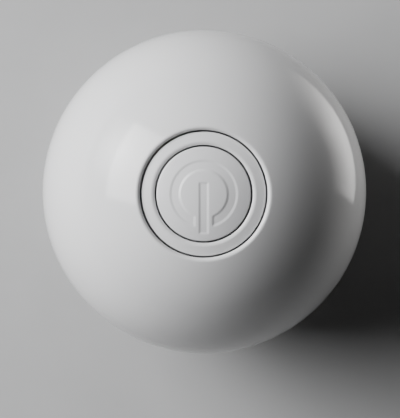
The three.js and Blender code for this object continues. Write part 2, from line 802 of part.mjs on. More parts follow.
// a flat flexible cable from the control board down to the main board, bowed to the left
function boardRibbon() {
  const half = 6;
  const skin = 0.3;
  const bow = 3;
  const steps = 8;
  const low = mainBoardTopZ + gap;
  const height = controlBottomZ - gap - low;
  const side = Array.from({ length: steps + 1 }, (_, i) => {
    return new THREE.Vector2(-8 - bow * Math.sin(Math.PI * i / steps), low + height * i / steps);
  });
  const back = side.map((p) => new THREE.Vector2(p.x + skin, p.y)).reverse();
  const geometry = new THREE.ExtrudeGeometry(new THREE.Shape([...side, ...back]),
    { depth: 2 * half, bevelEnabled: false });
  return solid(geometry.rotateX(Math.PI / 2).translate(0, half, 0));
}

function batteryLead() {
  const [x] = leadPlace;
  const low = batteryZ + batteryHeight / 2;
  const top = mainBoardZ - gap;
  return lead([
    [batteryLength / 2 + gap, 0, low],
    [x - 3.5, 0, low + 0.6],
    [x, 0, guideZ],
    [x, 0, (guideZ + baffleTopZ) / 2],
    [x, 0, baffleTopZ],
    [x - 2, 0, (baffleTopZ + top) / 2],
    [x - 7, 0, top - 3],
    [x - 7, 0, top],
  ], leadRadius, 22);
}

function chargeLead() {
  const [, y] = chargeLeadPlace;
  const start = portBoardTopZ + gap;
  const top = mainBoardZ - gap;
  return lead([
    [0, y + 2, start],
    [0, y + 0.5, start + 4],
    [0, y, baffleZ],
    [0, y, baffleTopZ + 3],
    [-4, y - 3, (baffleTopZ + top) / 2],
    [-6, y - 8, top - 3],
    [-6, y - 8, top],
  ], leadRadius, 18);
}

function speakerLead() {
  const z = baffleTopZ + flangeZ + flangeHeight + gap;
  const top = mainBoardZ - gap;
  return lead([
    [-driverFlangeRadius + 3.2, 6, z + leadRadius],
    [-driverFlangeRadius + 0.5, 7, z + 4],
    [-driverFlangeRadius - 1, 8, (z + top) / 2],
    [-driverFlangeRadius + 1, 8, top],
  ], leadRadius, 10);
}

// ---- assembly ----------------------------------------------------------------------------------

function mesh(name, body, material) {
  const node = new THREE.Mesh(geometryOf(body), finishes[material].clone());
  node.name = name;
  return node;
}

// copies of one body at several places, numbered from 1, turned over when they point down
function copies(name, body, material, places, z, pointsDown = false) {
  return places.map(([x, y], i) => {
    const node = mesh(`${name}_${i + 1}`, body, material);
    node.position.set(x, y, z);
    if (pointsDown) node.rotation.x = Math.PI;
    return node;
  });
}

function assembly(name, children, z = 0) {
  const group = new THREE.Group();
  group.name = name;
  group.position.z = z;
  group.add(...children);
  return group;
}

const housing = assembly('housing', [
  mesh('upper_shell', upperShell(), 'glossWhite'),
  mesh('lower_shell', lowerShell(), 'glossWhite'),
  mesh('seam_gasket', seamGasket(), 'softRubber'),
  mesh('grille_liner', grilleLiner(), 'linerCloth'),
  mesh('foot_ring', footRing(), 'rubberGrey'),
  mesh('base_cover', baseCover(), 'coverGrey'),
  ...copies('base_screw', crossed(screw(1.2, 9, 2.2, 1.1), 2.2, 1.1), 'steel', postPlaces, coverRecess + 1.2),
]);

const top = assembly('top', [
  mesh('light_ring', lightRing(), 'ringWhite'),
  mesh('power_button', powerButton(), 'glossWhite'),
  mesh('control_board', boardDisc(controlBoardRadius, controlBottomZ, controlScrewPlaces), 'boardWhite'),
  mesh('switch_body', switchBody(), 'blackPlastic'),
  mesh('switch_plunger', rod(plungerRadius, switchTopZ - 1.4, plungerTopZ), 'blackPlastic'),
  mesh('button_spring', buttonSpring(), 'steel'),
  ...copies('control_screw', screw(0.95, flangeTopZ - controlBottomZ + gap + 2.4, 1.9, 1.5), 'steel',
    controlScrewPlaces, controlBottomZ - gap),
  ...copies('led', block([-1.4, -1.4, 0], [1.4, 1.4, ledHeight]), 'ledWhite',
    circleOf(ledCount, ringOuter - ringSkirt / 2, 0), controlTopZ + gap),
  ...copies('microphone', block([-1.3, -1.75, 0], [1.3, 1.75, 1]), 'steel',
    circleOf(2, 11.5, 0), controlTopZ + gap),
]);

const chamber = assembly('sound_chamber', [
  mesh('waveguide', waveguide(), 'framePlastic'),
  mesh('baffle_frame', baffleFrame(), 'framePlastic'),
  ...copies('chassis_screw', screw(1.25, 12, 2.4, 1.6), 'steel', chassisPlaces, baffleZ - gap),
]);

const driver = assembly('driver', [
  mesh('driver_basket', driverBasket(), 'steel'),
  mesh('driver_gasket', band(driverHole + 1.6, driverHole + 3.2, gap, flangeZ - gap), 'softRubber'),
  mesh('surround', surround(), 'softRubber'),
  mesh('driver_cone', driverCone(), 'paperCone'),
  mesh('dust_cap', dustCap(), 'paperCone'),
  mesh('voice_coil', band(coilRadius - coilWall, coilRadius, neckZ - coilOverlap, yokeZ - coneTravel - 1.3), 'copper'),
  mesh('spider', spider(), 'spiderCloth'),
  mesh('magnet_top_plate', band(coilRadius + gap, magnetRadius - 1.5, plateZ, plateZ + plateHeight), 'steel'),
  mesh('driver_magnet', band(coilRadius + 1.8, magnetRadius, magnetZ, magnetZ + magnetHeight), 'ferrite'),
  mesh('pole_yoke', poleYoke(), 'steel'),
  ...copies('driver_screw', screw(0.9, 4.9, 1.7, 1.3), 'steel', driverScrewPlaces,
    flangeZ + flangeHeight + gap, true),
], baffleTopZ);

const port = assembly('charging_port', [
  mesh('charge_port', chargePort(), 'steel'),
  mesh('port_gasket', portGasket(), 'softRubber'),
  mesh('port_board', portBoard(), 'boardGreen'),
]);

const electronics = assembly('electronics', [
  mesh('battery_pack', batteryPack(), 'battery'),
  mesh('main_board', boardDisc(mainBoardRadius, mainBoardZ, mainScrewPlaces), 'boardGreen'),
  mesh('shield_can', block([-12, -22, mainBoardZ - gap - 3], [10, -6, mainBoardZ - gap]), 'steel'),
  mesh('wifi_antenna', wifiAntenna(), 'boardWhite'),
  ...copies('board_screw', screw(1, 7.5, 2, 1.4), 'steel', mainScrewPlaces, mainBoardZ - gap),
  mesh('board_ribbon', boardRibbon(), 'ribbonWhite'),
  mesh('battery_lead', batteryLead(), 'leadRed'),
  mesh('charge_lead', chargeLead(), 'leadBlack'),
  mesh('speaker_lead', speakerLead(), 'leadBlack'),
]);

const speaker = new THREE.Group();
speaker.name = 'smart_speaker';
speaker.add(housing, top, chamber, driver, port, electronics);

export default speaker;
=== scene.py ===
import math
import bmesh
import bpy
import numpy as np
from mathutils import Matrix, Vector


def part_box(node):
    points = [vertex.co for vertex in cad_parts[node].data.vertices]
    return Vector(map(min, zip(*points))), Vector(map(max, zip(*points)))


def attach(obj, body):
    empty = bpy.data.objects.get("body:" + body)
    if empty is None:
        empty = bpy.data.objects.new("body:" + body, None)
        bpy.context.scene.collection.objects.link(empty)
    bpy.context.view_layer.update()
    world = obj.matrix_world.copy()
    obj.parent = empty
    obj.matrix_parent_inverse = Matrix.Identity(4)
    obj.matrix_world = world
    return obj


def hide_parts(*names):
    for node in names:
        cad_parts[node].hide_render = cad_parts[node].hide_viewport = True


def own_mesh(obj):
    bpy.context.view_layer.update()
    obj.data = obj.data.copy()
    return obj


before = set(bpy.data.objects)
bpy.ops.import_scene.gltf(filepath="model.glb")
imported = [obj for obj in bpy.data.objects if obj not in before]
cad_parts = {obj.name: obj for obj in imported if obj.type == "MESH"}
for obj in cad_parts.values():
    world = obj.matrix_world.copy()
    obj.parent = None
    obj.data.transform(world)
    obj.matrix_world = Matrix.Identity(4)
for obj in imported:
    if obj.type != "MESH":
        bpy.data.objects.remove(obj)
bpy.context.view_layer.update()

# A ball-shaped smart speaker: gloss white shells, a light ring and a power button on top, slots below.
# Everything is in metres, and the sizes in the dictionaries are millimetres times mm.
mm = 0.001
gap = 0.3 * mm                   # clearance between fixed pieces that seat on each other
weldDistance = 0.0002 * mm       # points nearer than this are one point
sameRadius = 0.01 * mm           # points this near to a radius lie on it


def span(node):
    # lowest and highest corner of a CAD node, as arrays
    low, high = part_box(node)
    return np.array(low), np.array(high)


# what the frame says about the ball
bowlLow, bowlHigh = span("lower_shell")
seamGap = 0.5 * mm
ball = {
    "radius": (bowlHigh[0] - bowlLow[0]) / 2,
    "centreZ": bowlHigh[2] + seamGap / 2,
    "wall": 2.4 * mm,
    "domeEdge": bowlHigh[2] + seamGap,      # the seam's upper and lower edge
    "bowlEdge": bowlHigh[2],
    "underside": bowlLow[2],
    "seamRound": 0.35 * mm,
    "innerRound": 0.2 * mm,
}
ball["inner"] = ball["radius"] - ball["wall"]


# meshes from grids of points

def turnedGrid(profile, segments, fromTurn=0.0, toTurn=2 * np.pi):
    # each [r, z] point of the profile carried round the Z axis: x = r cos a, y = r sin a
    a = np.linspace(fromTurn, toTurn, segments + 1)
    r, z = profile[:, 0, None], profile[:, 1, None]
    return np.stack([r * np.cos(a), r * np.sin(a), z + 0 * a], axis=-1)


def turnedCell(rows, turn):
    # loops of (out, along, z) points about one direction, turned to it and joined end to start
    rows = np.concatenate([rows, rows[:, :1]], axis=1)
    out, along, z = rows[..., 0], rows[..., 1], rows[..., 2]
    x = out * np.cos(turn) - along * np.sin(turn)
    y = out * np.sin(turn) + along * np.cos(turn)
    return np.stack([x, y, z], axis=-1)


def gridQuads(rows, columns, start):
    # corner numbers of every square of a rows by columns grid
    i = np.arange(rows - 1)[:, None] * columns
    j = np.arange(columns - 1)[None, :]
    quads = np.stack([i + j, i + j + 1, i + columns + j + 1, i + columns + j], axis=-1)
    return quads.reshape(-1, 4) + start


def meshFromGrids(name, grids):
    # all grids in one mesh, equal points welded, faces turned outwards
    points, quads, start = [], [], 0
    for grid in grids:
        rows, columns = grid.shape[:2]
        points.append(grid.reshape(-1, 3))
        quads.append(gridQuads(rows, columns, start))
        start += rows * columns
    mesh = bpy.data.meshes.new(name)
    mesh.from_pydata(np.vstack(points).tolist(), [], np.vstack(quads).tolist())
    work = bmesh.new()
    work.from_mesh(mesh)
    bmesh.ops.remove_doubles(work, verts=work.verts, dist=weldDistance)
    bmesh.ops.dissolve_degenerate(work, edges=work.edges, dist=weldDistance)
    bmesh.ops.recalc_face_normals(work, faces=work.faces)
    openEdges = sum(len(edge.link_faces) != 2 for edge in work.edges)
    for face in work.faces:
        face.smooth = True
    work.to_mesh(mesh)
    work.free()
    print(name, len(mesh.vertices), "points,", openEdges, "open edges")
    return mesh


def addPiece(name, grids, finishName, body="housing", nodes=()):
    # the grids as a piece that rides on a body and stands for CAD nodes
    mesh = meshFromGrids(name, grids)
    mesh.materials.append(finish[finishName])
    piece = bpy.data.objects.new(name, mesh)
    bpy.context.scene.collection.objects.link(piece)
    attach(piece, body)
    if nodes:
        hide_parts(*nodes)
    return piece


# outlines

def arcPoints(cr, cz, radius, fromDeg, toDeg, steps):
    # points on a circle about (cr, cz): r = cr + radius cos a, z = cz + radius sin a
    a = np.radians(np.linspace(fromDeg, toDeg, steps + 1))
    return np.stack([cr + radius * np.cos(a), cz + radius * np.sin(a)], axis=-1)


def heightOn(radius, out):
    # height of a ball about the speaker's middle, out from the axis: middle + sqrt(radius^2 - out^2)
    return ball["centreZ"] + np.sqrt(radius ** 2 - np.square(out))


def ballArc(radius, z0, z1, steps):
    # points on a ball about the speaker's middle, between two heights
    a0, a1 = np.degrees(np.arcsin((np.array([z0, z1]) - ball["centreZ"]) / radius))
    return arcPoints(0, ball["centreZ"], radius, a0, a1, steps)


straightCorner = 1.55            # half angle past which a corner is left as it is, in radians


def filleted(corners, steps=5, closed=True):
    # each [r, z, radius] corner rounded by an arc that touches both of its sides: its middle is
    # radius / sin(half angle) along the corner's bisector, its ends radius / tan(half angle) along the sides
    corners = [tuple(c) if len(c) == 3 else (c[0], c[1], 0) for c in corners]
    out, count = [], len(corners)
    for i, (r, z, radius) in enumerate(corners):
        here = np.array([r, z])
        if radius == 0 or (not closed and i in (0, count - 1)):
            out.append(here)
            continue
        before = np.array(corners[i - 1][:2]) - here
        after = np.array(corners[(i + 1) % count][:2]) - here
        before, after = before / np.linalg.norm(before), after / np.linalg.norm(after)
        half = math.acos(np.clip(before @ after, -1, 1)) / 2
        if half > straightCorner:
            out.append(here)
            continue
        middle = here + (before + after) / np.linalg.norm(before + after) * radius / math.sin(half)
        first = here + before * radius / math.tan(half)
        last = here + after * radius / math.tan(half)
        a0 = math.atan2(*(first - middle)[::-1])
        turn = (math.atan2(*(last - middle)[::-1]) - a0 + math.pi) % (2 * math.pi) - math.pi
        a = a0 + turn * np.linspace(0, 1, steps + 1)
        out.extend(middle + radius * np.stack([np.cos(a), np.sin(a)], axis=-1))
    if closed:
        out.append(out[0])
    return np.array(out)


def fallenLip(t, width, share, power):
    # how far a lip has fallen, t of the way across it: share * width * t^power
    return share * width * t ** power


def squareLoop(across, up):
    # points round a square from -1 to 1, anticlockwise from its lower left corner
    x = np.linspace(-1, 1, across + 1)[:-1, None]
    z = np.linspace(-1, 1, up + 1)[:-1, None]
    side, end = np.ones_like(z), np.ones_like(x)
    sides = [np.hstack([x, -end]), np.hstack([side, z]), np.hstack([-x, end]), np.hstack([-side, -z])]
    return np.vstack(sides)


def pulledLoop(square, halfX, halfZ, radius, grow=0.0):
    # the square stretched over a rounded outline and pulled onto it, grown outwards all round
    reach = square * [halfX, halfZ]
    core = np.maximum([halfX - radius, halfZ - radius], 0)
    nearest = np.clip(reach, -core, core)
    away = reach - nearest
    return nearest + (radius + grow) * away / np.linalg.norm(away, axis=1, keepdims=True)


def easedRows(first, last, steps):
    # rows that run evenly from one loop to another: first + (last - first) t
    t = np.linspace(0, 1, steps + 1)[:, None, None]
    return first + (last - first) * t


def quarterRound(radius, steps):
    # (inset, sink) pairs round a quarter circle: radius (1 - sin a) and radius (1 - cos a)
    a = np.linspace(0, np.pi / 2, steps + 1)
    return [(radius * (1 - math.sin(v)), radius * (1 - math.cos(v))) for v in a]


# nodes that the finishes share

def newMaterial(name):
    # an empty material with its node tree and its shader
    material = bpy.data.materials.new(name)
    material.use_nodes = True
    tree = material.node_tree
    return material, tree, tree.nodes["Principled BSDF"]


def addNode(tree, kind, **values):
    # a node with its properties set, or its inputs where it has no property of that name
    node = tree.nodes.new(kind)
    for key, value in values.items():
        if hasattr(node, key):
            setattr(node, key, value)
        else:
            node.inputs[key].default_value = value
    return node


def grain(tree, scale, detail, stretch=(1, 1, 1)):
    # noise on Object coordinates, its cells about 1/scale metres wide
    place = addNode(tree, "ShaderNodeTexCoord")
    mapping = addNode(tree, "ShaderNodeMapping", Scale=stretch)
    noise = addNode(tree, "ShaderNodeTexNoise", Scale=scale, Detail=detail)
    tree.links.new(place.outputs["Object"], mapping.inputs["Vector"])
    tree.links.new(mapping.outputs["Vector"], noise.inputs["Vector"])
    return noise.outputs["Fac"]


def ranged(tree, value, low, high, fromLow=0.3, fromHigh=0.7):
    # the value spread between low and high; noise mostly lies between 0.3 and 0.7
    node = addNode(tree, "ShaderNodeMapRange")
    for key, number in (("From Min", fromLow), ("From Max", fromHigh), ("To Min", low), ("To Max", high)):
        node.inputs[key].default_value = number
    tree.links.new(value, node.inputs["Value"])
    return node.outputs["Result"]


def calculated(tree, operation, first, second):
    # a Math node of two outputs, of an output and a number, or of one output alone
    node = addNode(tree, "ShaderNodeMath", operation=operation)
    for value, entry in ((first, node.inputs[0]), (second, node.inputs[1])):
        if isinstance(value, (int, float)):
            entry.default_value = value
        elif value is not None:
            tree.links.new(value, entry)
    return node.outputs[0]


def mixed(tree, factor, colorA, colorB):
    # one colour fading into the other by the factor
    node = addNode(tree, "ShaderNodeMix", data_type="RGBA")
    node.inputs["A"].default_value = (*colorA, 1)
    node.inputs["B"].default_value = (*colorB, 1)
    tree.links.new(factor, node.inputs["Factor"])
    return node.outputs["Result"]


def bumped(tree, shader, height, strength, distance):
    # the shader's normal tipped by a height field
    node = addNode(tree, "ShaderNodeBump", Strength=strength, Distance=distance)
    tree.links.new(height, node.inputs["Height"])
    tree.links.new(node.outputs["Normal"], shader.inputs["Normal"])


# moulded finishes: colour, tint it drifts to, roughness, its spread, grain scale, grain strength,
# and where they differ from the usual, coat and shine
mouldedLooks = {
    "glossWhite": ((0.81, 0.808, 0.808), (0.785, 0.785, 0.79), 0.1, 0.025, 2600, 0.03, 0, 0.42),
    "ringWhite": ((0.82, 0.82, 0.83), (0.8, 0.8, 0.8), 0.2, 0.03, 2600, 0.05),
    "buttonWhite": ((0.8, 0.8, 0.81), (0.78, 0.78, 0.79), 0.22, 0.03, 2600, 0.06),
    "footRubber": ((0.035, 0.036, 0.038), (0.055, 0.055, 0.058), 0.72, 0.1, 3200, 0.35),
    "coverGrey": ((0.55, 0.555, 0.565), (0.5, 0.505, 0.52), 0.5, 0.06, 2400, 0.45),
    "sealRubber": ((0.016, 0.016, 0.017), (0.026, 0.026, 0.027), 0.7, 0.08, 2800, 0.3),
    "framePlastic": ((0.022, 0.023, 0.025), (0.034, 0.035, 0.038), 0.55, 0.08, 2200, 0.4),
    "switchPlastic": ((0.014, 0.014, 0.015), (0.022, 0.022, 0.024), 0.45, 0.06, 2600, 0.3),
    "conePaper": ((0.02, 0.02, 0.021), (0.045, 0.044, 0.042), 0.85, 0.08, 1400, 0.8),
    "ferrite": ((0.075, 0.075, 0.08), (0.12, 0.12, 0.125), 0.5, 0.1, 1800, 0.5),
    "spiderCloth": ((0.45, 0.3, 0.12), (0.55, 0.4, 0.2), 0.85, 0.08, 1600, 0.8),
    "boardGreen": ((0.015, 0.1, 0.05), (0.02, 0.14, 0.07), 0.35, 0.08, 1200, 0.3, 0.2),
    "boardWhite": ((0.72, 0.73, 0.7), (0.66, 0.67, 0.64), 0.4, 0.08, 1200, 0.3),
    "cellWrap": ((0.2, 0.28, 0.36), (0.24, 0.32, 0.4), 0.32, 0.08, 700, 0.3),
    "ledLens": ((0.8, 0.75, 0.5), (0.75, 0.65, 0.35), 0.2, 0.05, 1500, 0.2),
    "leadBlack": ((0.011, 0.011, 0.012), (0.02, 0.02, 0.021), 0.45, 0.06, 2000, 0.2),
    "leadRed": ((0.32, 0.02, 0.016), (0.26, 0.02, 0.016), 0.45, 0.06, 2000, 0.2),
    "flexWhite": ((0.66, 0.67, 0.7), (0.6, 0.61, 0.64), 0.35, 0.06, 1500, 0.2),
    "floorPale": ((0.47, 0.47, 0.47), (0.45, 0.45, 0.45), 0.6, 0.05, 400, 0.05),
}
mouldedSizes = {
    "driftScale": 45,            # cells per metre of the colour drift
    "driftDetail": 4,
    "glossScale": 160,           # and of the uneven gloss
    "glossDetail": 6,
    "grainDetail": 2,
    "grainHeight": 0.02 * mm,
    "coatRoughness": 0.06,
}


def mouldedFinish(name, color, tint, roughness, spread, grainScale, bump, coat=0.0, shine=0.5):
    # moulded or painted stuff: faint colour drift, uneven gloss and a fine surface grain
    s = mouldedSizes
    material, tree, shader = newMaterial(name)
    drift = ranged(tree, grain(tree, s["driftScale"], s["driftDetail"]), 0, 1)
    tree.links.new(mixed(tree, drift, color, tint), shader.inputs["Base Color"])
    gloss = grain(tree, s["glossScale"], s["glossDetail"])
    tree.links.new(ranged(tree, gloss, roughness - spread, roughness + spread), shader.inputs["Roughness"])
    bumped(tree, shader, grain(tree, grainScale, s["grainDetail"]), bump, s["grainHeight"])
    shader.inputs["Coat Weight"].default_value = coat
    shader.inputs["Coat Roughness"].default_value = s["coatRoughness"]
    shader.inputs["Specular IOR Level"].default_value = shine
    return material


# metal finishes: colour, tint it drifts to, roughness, stretch of the grain along X, Y and Z
rubbedLooks = {
    "screwSteel": ((0.52, 0.53, 0.55), (0.42, 0.42, 0.43), 0.3, (1, 1, 6)),
    "partSteel": ((0.5, 0.5, 0.51), (0.4, 0.41, 0.42), 0.34, (6, 1, 1)),
    "portSteel": ((0.6, 0.61, 0.63), (0.5, 0.5, 0.52), 0.24, (1, 5, 1)),
    "copper": ((0.62, 0.28, 0.13), (0.5, 0.2, 0.09), 0.32, (1, 1, 9)),
}
rubbedSizes = {
    "driftScale": 80,
    "driftDetail": 4,
    "lineScale": 900,
    "lineDetail": 3,
    "smoother": 0.08,            # roughness between the lines and in them
    "rougher": 0.1,
    "bump": 0.12,
    "lineHeight": 0.02 * mm,
}


def rubbedFinish(name, color, tint, roughness, stretch):
    # metal with fine drawn lines at right angles to the direction of the largest stretch
    s = rubbedSizes
    material, tree, shader = newMaterial(name)
    lines = grain(tree, s["lineScale"], s["lineDetail"], stretch)
    drift = ranged(tree, grain(tree, s["driftScale"], s["driftDetail"]), 0, 1)
    tree.links.new(mixed(tree, drift, color, tint), shader.inputs["Base Color"])
    rubbed = ranged(tree, lines, roughness - s["smoother"], roughness + s["rougher"])
    tree.links.new(rubbed, shader.inputs["Roughness"])
    bumped(tree, shader, lines, s["bump"], s["lineHeight"])
    shader.inputs["Metallic"].default_value = 1
    return material


clothSizes = {
    # the cloth's colour in the weave's hollows and on its crests: the darker hollows are painted shade
    # between the threads
    "dark": (0.012, 0.012, 0.013),
    "light": (0.06, 0.06, 0.064),
    "pitch": 0.55 * mm,
    "wrapRadius": 46 * mm,       # where the threads round the axis have this pitch
    "fuzzScale": 300,
    "fuzzDetail": 4,
    "roughness": (0.8, 0.98),
    "sheen": 0.25,
    "bump": 0.7,
    "threadHeight": 0.15 * mm,
}


def wovenFinish(name, s):
    # plain weave wrapped round the axis: sin(turn * radius / pitch) * sin(height / pitch), each by 2 pi
    material, tree, shader = newMaterial(name)
    place = addNode(tree, "ShaderNodeTexCoord")
    apart = addNode(tree, "ShaderNodeSeparateXYZ")
    tree.links.new(place.outputs["Object"], apart.inputs["Vector"])
    turn = calculated(tree, "ARCTAN2", apart.outputs["Y"], apart.outputs["X"])
    waves = []
    for source, rate in ((turn, s["wrapRadius"] / s["pitch"]), (apart.outputs["Z"], 1 / s["pitch"])):
        waves.append(calculated(tree, "SINE", calculated(tree, "MULTIPLY", source, rate * 2 * math.pi), None))
    height = ranged(tree, calculated(tree, "MULTIPLY", *waves), 0, 1, -1, 1)
    # colour runs from dark in the weave's hollows to light on its crests, painted shade between the threads
    # beside the bump
    tree.links.new(mixed(tree, height, s["dark"], s["light"]), shader.inputs["Base Color"])
    fuzz = ranged(tree, grain(tree, s["fuzzScale"], s["fuzzDetail"]), *s["roughness"])
    tree.links.new(fuzz, shader.inputs["Roughness"])
    shader.inputs["Sheen Weight"].default_value = s["sheen"]
    bumped(tree, shader, height, s["bump"], s["threadHeight"])
    return material


finish = {name: mouldedFinish(name, *look) for name, look in mouldedLooks.items()}
finish.update({name: rubbedFinish(name, *look) for name, look in rubbedLooks.items()})
finish["linerCloth"] = wovenFinish("linerCloth", clothSizes)
print("finishes made:", len(finish))


ringLow, ringHigh = span("light_ring")
domeSizes = {
    "segments": 256,
    "outerSteps": 72,
    "innerSteps": 40,
    "openingRadius": 18.55 * mm,
    "lipWidth": 1.6 * mm,
    "lipShare": 0.74,            # of its width, how far the lip falls
    "lipSteps": 32,
    "lipEdge": 0.08 * mm,
    "collarWall": 2.5 * mm,
    "collarBottom": ringHigh[2] - 6.3 * mm,
}


def domeProfile(s):
    # the ball from the seam to the lip, the lip falling off it by share * width * t^3, down the collar
    # and back along the inner ball; the lip's last points are left to its edge's round
    collarR, collarZ = s["openingRadius"] + s["collarWall"], s["collarBottom"]
    lipR = s["openingRadius"] + s["lipWidth"]
    outer = ballArc(ball["radius"], ball["domeEdge"], heightOn(ball["radius"], lipR), s["outerSteps"])
    t = np.linspace(0, 1, s["lipSteps"] + 1)[1:]
    r = lipR - s["lipWidth"] * t
    z = heightOn(ball["radius"], r) - fallenLip(t, s["lipWidth"], s["lipShare"], 3)
    lip = np.stack([r, z], axis=-1)
    inner = ballArc(ball["inner"], heightOn(ball["inner"], collarR), ball["domeEdge"], s["innerSteps"])
    corners = [
        (*outer[0], ball["seamRound"]), *outer[1:], *lip[:-4], (*lip[-1], s["lipEdge"]),
        (s["openingRadius"], collarZ, ball["innerRound"]), (collarR, collarZ, ball["innerRound"]),
        *inner[:-1], (*inner[-1], ball["innerRound"]),
    ]
    return filleted(corners, 4)


addPiece("domeShell", [turnedGrid(domeProfile(domeSizes), domeSizes["segments"])],
         "glossWhite", nodes=["upper_shell"])
print("dome made")


buttonLow, buttonHigh = span("power_button")
buttonSizes = {
    "crown": 44 * mm,            # radius of its crown
    "radius": 13.7 * mm,
    "edge": 0.5 * mm,            # engraved face ends this far inside
    "edgeRound": 0.3 * mm,
    "wall": 1.5 * mm,
    "top": 1.8 * mm,
    "hollowRound": 0.5 * mm,
    "heelHeight": 1 * mm,
    "heelRound": 0.15 * mm,
    "stemRadius": 2.2 * mm,
    "stemRound": 0.25 * mm,
    "stemBottom": span("switch_plunger")[1][2] + gap,
    "spokes": 448,               # round the engraved face
    "rings": 116,                # across it
}
symbolSizes = {
    "middle": 8.275 * mm,        # broken circle's middle radius
    "halfWidth": 1.325 * mm,
    "opening": 2.7 * mm,         # half the break at the back
    "barHalfWidth": 1.2 * mm,
    "barBack": 11.4 * mm,
    "barFront": -3.2 * mm,
    "corner": 0.35 * mm,
    "depth": 0.22 * mm,
    "circleSoftness": 0.5 * mm,  # half the width of the pressed edge
    "barSoftness": 0.48 * mm,
}
ringSizes = {
    "segments": 256,
    "crown": 56 * mm,
    "inner": 14.23 * mm,
    "outer": 18.02 * mm,
    "outerEdge": 0.22 * mm,
    "innerEdge": 0.1 * mm,
    "lipWidth": 1.25 * mm,
    "lipShare": 0.5,
    "topPoints": 48,
    "counterbore": 16.6 * mm,    # room for the button's heel
    "flangeTop": ringLow[2] + 3 * mm,
    "flangeThickness": 1.5 * mm,
    "shoulderRise": 3 * mm,      # shoulder over the heel, above the flange's underside
    "boreRound": 0.15 * mm,
    "flangeRound": 0.2 * mm,
}


def crownHeight(r, crown):
    # height of a shallow crown under the speaker's top: top - crown + sqrt(crown^2 - r^2)
    return buttonHigh[2] - crown + np.sqrt(crown ** 2 - np.square(r))


def roundedOverlap(a, b, radius):
    # distance to where two shapes overlap, its corners rounded
    u, v = a + radius, b + radius
    return np.minimum(np.maximum(u, v), 0) + np.hypot(np.maximum(u, 0), np.maximum(v, 0)) - radius


def eased(distance, softness):
    # 1 inside an outline, 0 outside, with a smooth step t^2 (3 - 2 t) of twice the softness across it
    t = np.clip((softness - distance) / (2 * softness), 0, 1)
    return t * t * (3 - 2 * t)


def symbolDepth(x, y, s):
    # how deep the power symbol is pressed at (x, y): full inside its outline, easing out at the edge
    circle = np.abs(np.hypot(x, y) - s["middle"]) - s["halfWidth"]
    opening = np.where(y > 0, s["opening"] - np.abs(x), -1.0)
    broken = roundedOverlap(circle, opening, s["corner"])
    middle = (s["barBack"] + s["barFront"]) / 2
    half = (s["barBack"] - s["barFront"]) / 2
    bar = roundedOverlap(np.abs(x) - s["barHalfWidth"], np.abs(y - middle) - half, s["corner"])
    return s["depth"] * np.maximum(eased(broken, s["circleSoftness"]), eased(bar, s["barSoftness"]))


def buttonGrids(s):
    # engraved face as rings round the axis, then the edge, skirt and heel, and the hollow underside
    edge, skirt = s["radius"] - s["edge"], s["radius"] - s["wall"]
    a = np.linspace(0, 2 * np.pi, s["spokes"] + 1)
    r = np.linspace(0, edge, s["rings"])[:, None]
    x, y = r * np.cos(a), r * np.sin(a)
    face = np.stack([x, y, crownHeight(r, s["crown"]) - symbolDepth(x, y, symbolSizes)], axis=-1)
    heel, heelTop, bottom = buttonHigh[0], buttonLow[2] + s["heelHeight"], buttonLow[2]

    def under(r, depth=0.0):
        # the crown's height at r, less a depth
        return float(crownHeight(r, s["crown"])) - depth

    corners = [
        (edge, under(edge)), (s["radius"], under(s["radius"]), s["edgeRound"]),
        (s["radius"], heelTop, s["heelRound"]), (heel, heelTop, s["heelRound"]),
        (heel, bottom, s["heelRound"]), (skirt, bottom, s["heelRound"]),
        (skirt, under(skirt, s["top"]), s["hollowRound"]),
        (s["stemRadius"], under(0, s["top"]), s["hollowRound"]),
        (s["stemRadius"], s["stemBottom"], s["stemRound"]), (0, s["stemBottom"]),
    ]
    return [face, turnedGrid(filleted(corners, 5, closed=False), s["spokes"])]


def ringProfile(s):
    # crowned top, its inner lip falling off it by share * width * t^2; skirt and flange below;
    # the top's first and last points are left to the edges' rounds
    flange = domeSizes["openingRadius"] + domeSizes["collarWall"]
    bottom = s["flangeTop"] - s["flangeThickness"]
    shoulder = bottom + s["shoulderRise"]
    r = np.linspace(s["outer"], s["inner"], s["topPoints"])
    t = np.clip((s["inner"] + s["lipWidth"] - r) / s["lipWidth"], 0, 1)
    z = crownHeight(r, s["crown"]) - fallenLip(t, s["lipWidth"], s["lipShare"], 2)
    top = np.stack([r, z], axis=-1)
    corners = [
        (s["counterbore"], bottom, s["boreRound"]), (flange, bottom, s["flangeRound"]),
        (flange, s["flangeTop"], s["flangeRound"]), (s["outer"], s["flangeTop"], s["flangeRound"]),
        (*top[0], s["outerEdge"]), *top[4:-2], (*top[-1], s["innerEdge"]),
        (s["inner"], shoulder, s["innerEdge"]), (s["counterbore"], shoulder),
    ]
    return filleted(corners, 5)


addPiece("powerButton", buttonGrids(buttonSizes), "buttonWhite",
         body="button", nodes=["power_button"])
addPiece("lightRing", [turnedGrid(ringProfile(ringSizes), ringSizes["segments"])],
         "ringWhite", nodes=["light_ring"])
print("button and light ring made")


coverLow, coverHigh = span("base_cover")
linerLow, linerHigh = span("grille_liner")
guideBottom = span("waveguide")[0][2]
portLow, portHigh = span("charge_port")
portZ = (portLow[2] + portHigh[2]) / 2

screwNodes = [f"base_screw_{number}" for number in range(1, 5)]
screwPlaces = np.array([sum(span(node)) / 2 for node in screwNodes])
postCircle = float(np.hypot(*screwPlaces[0, :2]))
postDegrees = np.round(np.degrees(np.arctan2(screwPlaces[:, 1], screwPlaces[:, 0]))) % 360
postTurns = np.radians(np.sort(postDegrees))

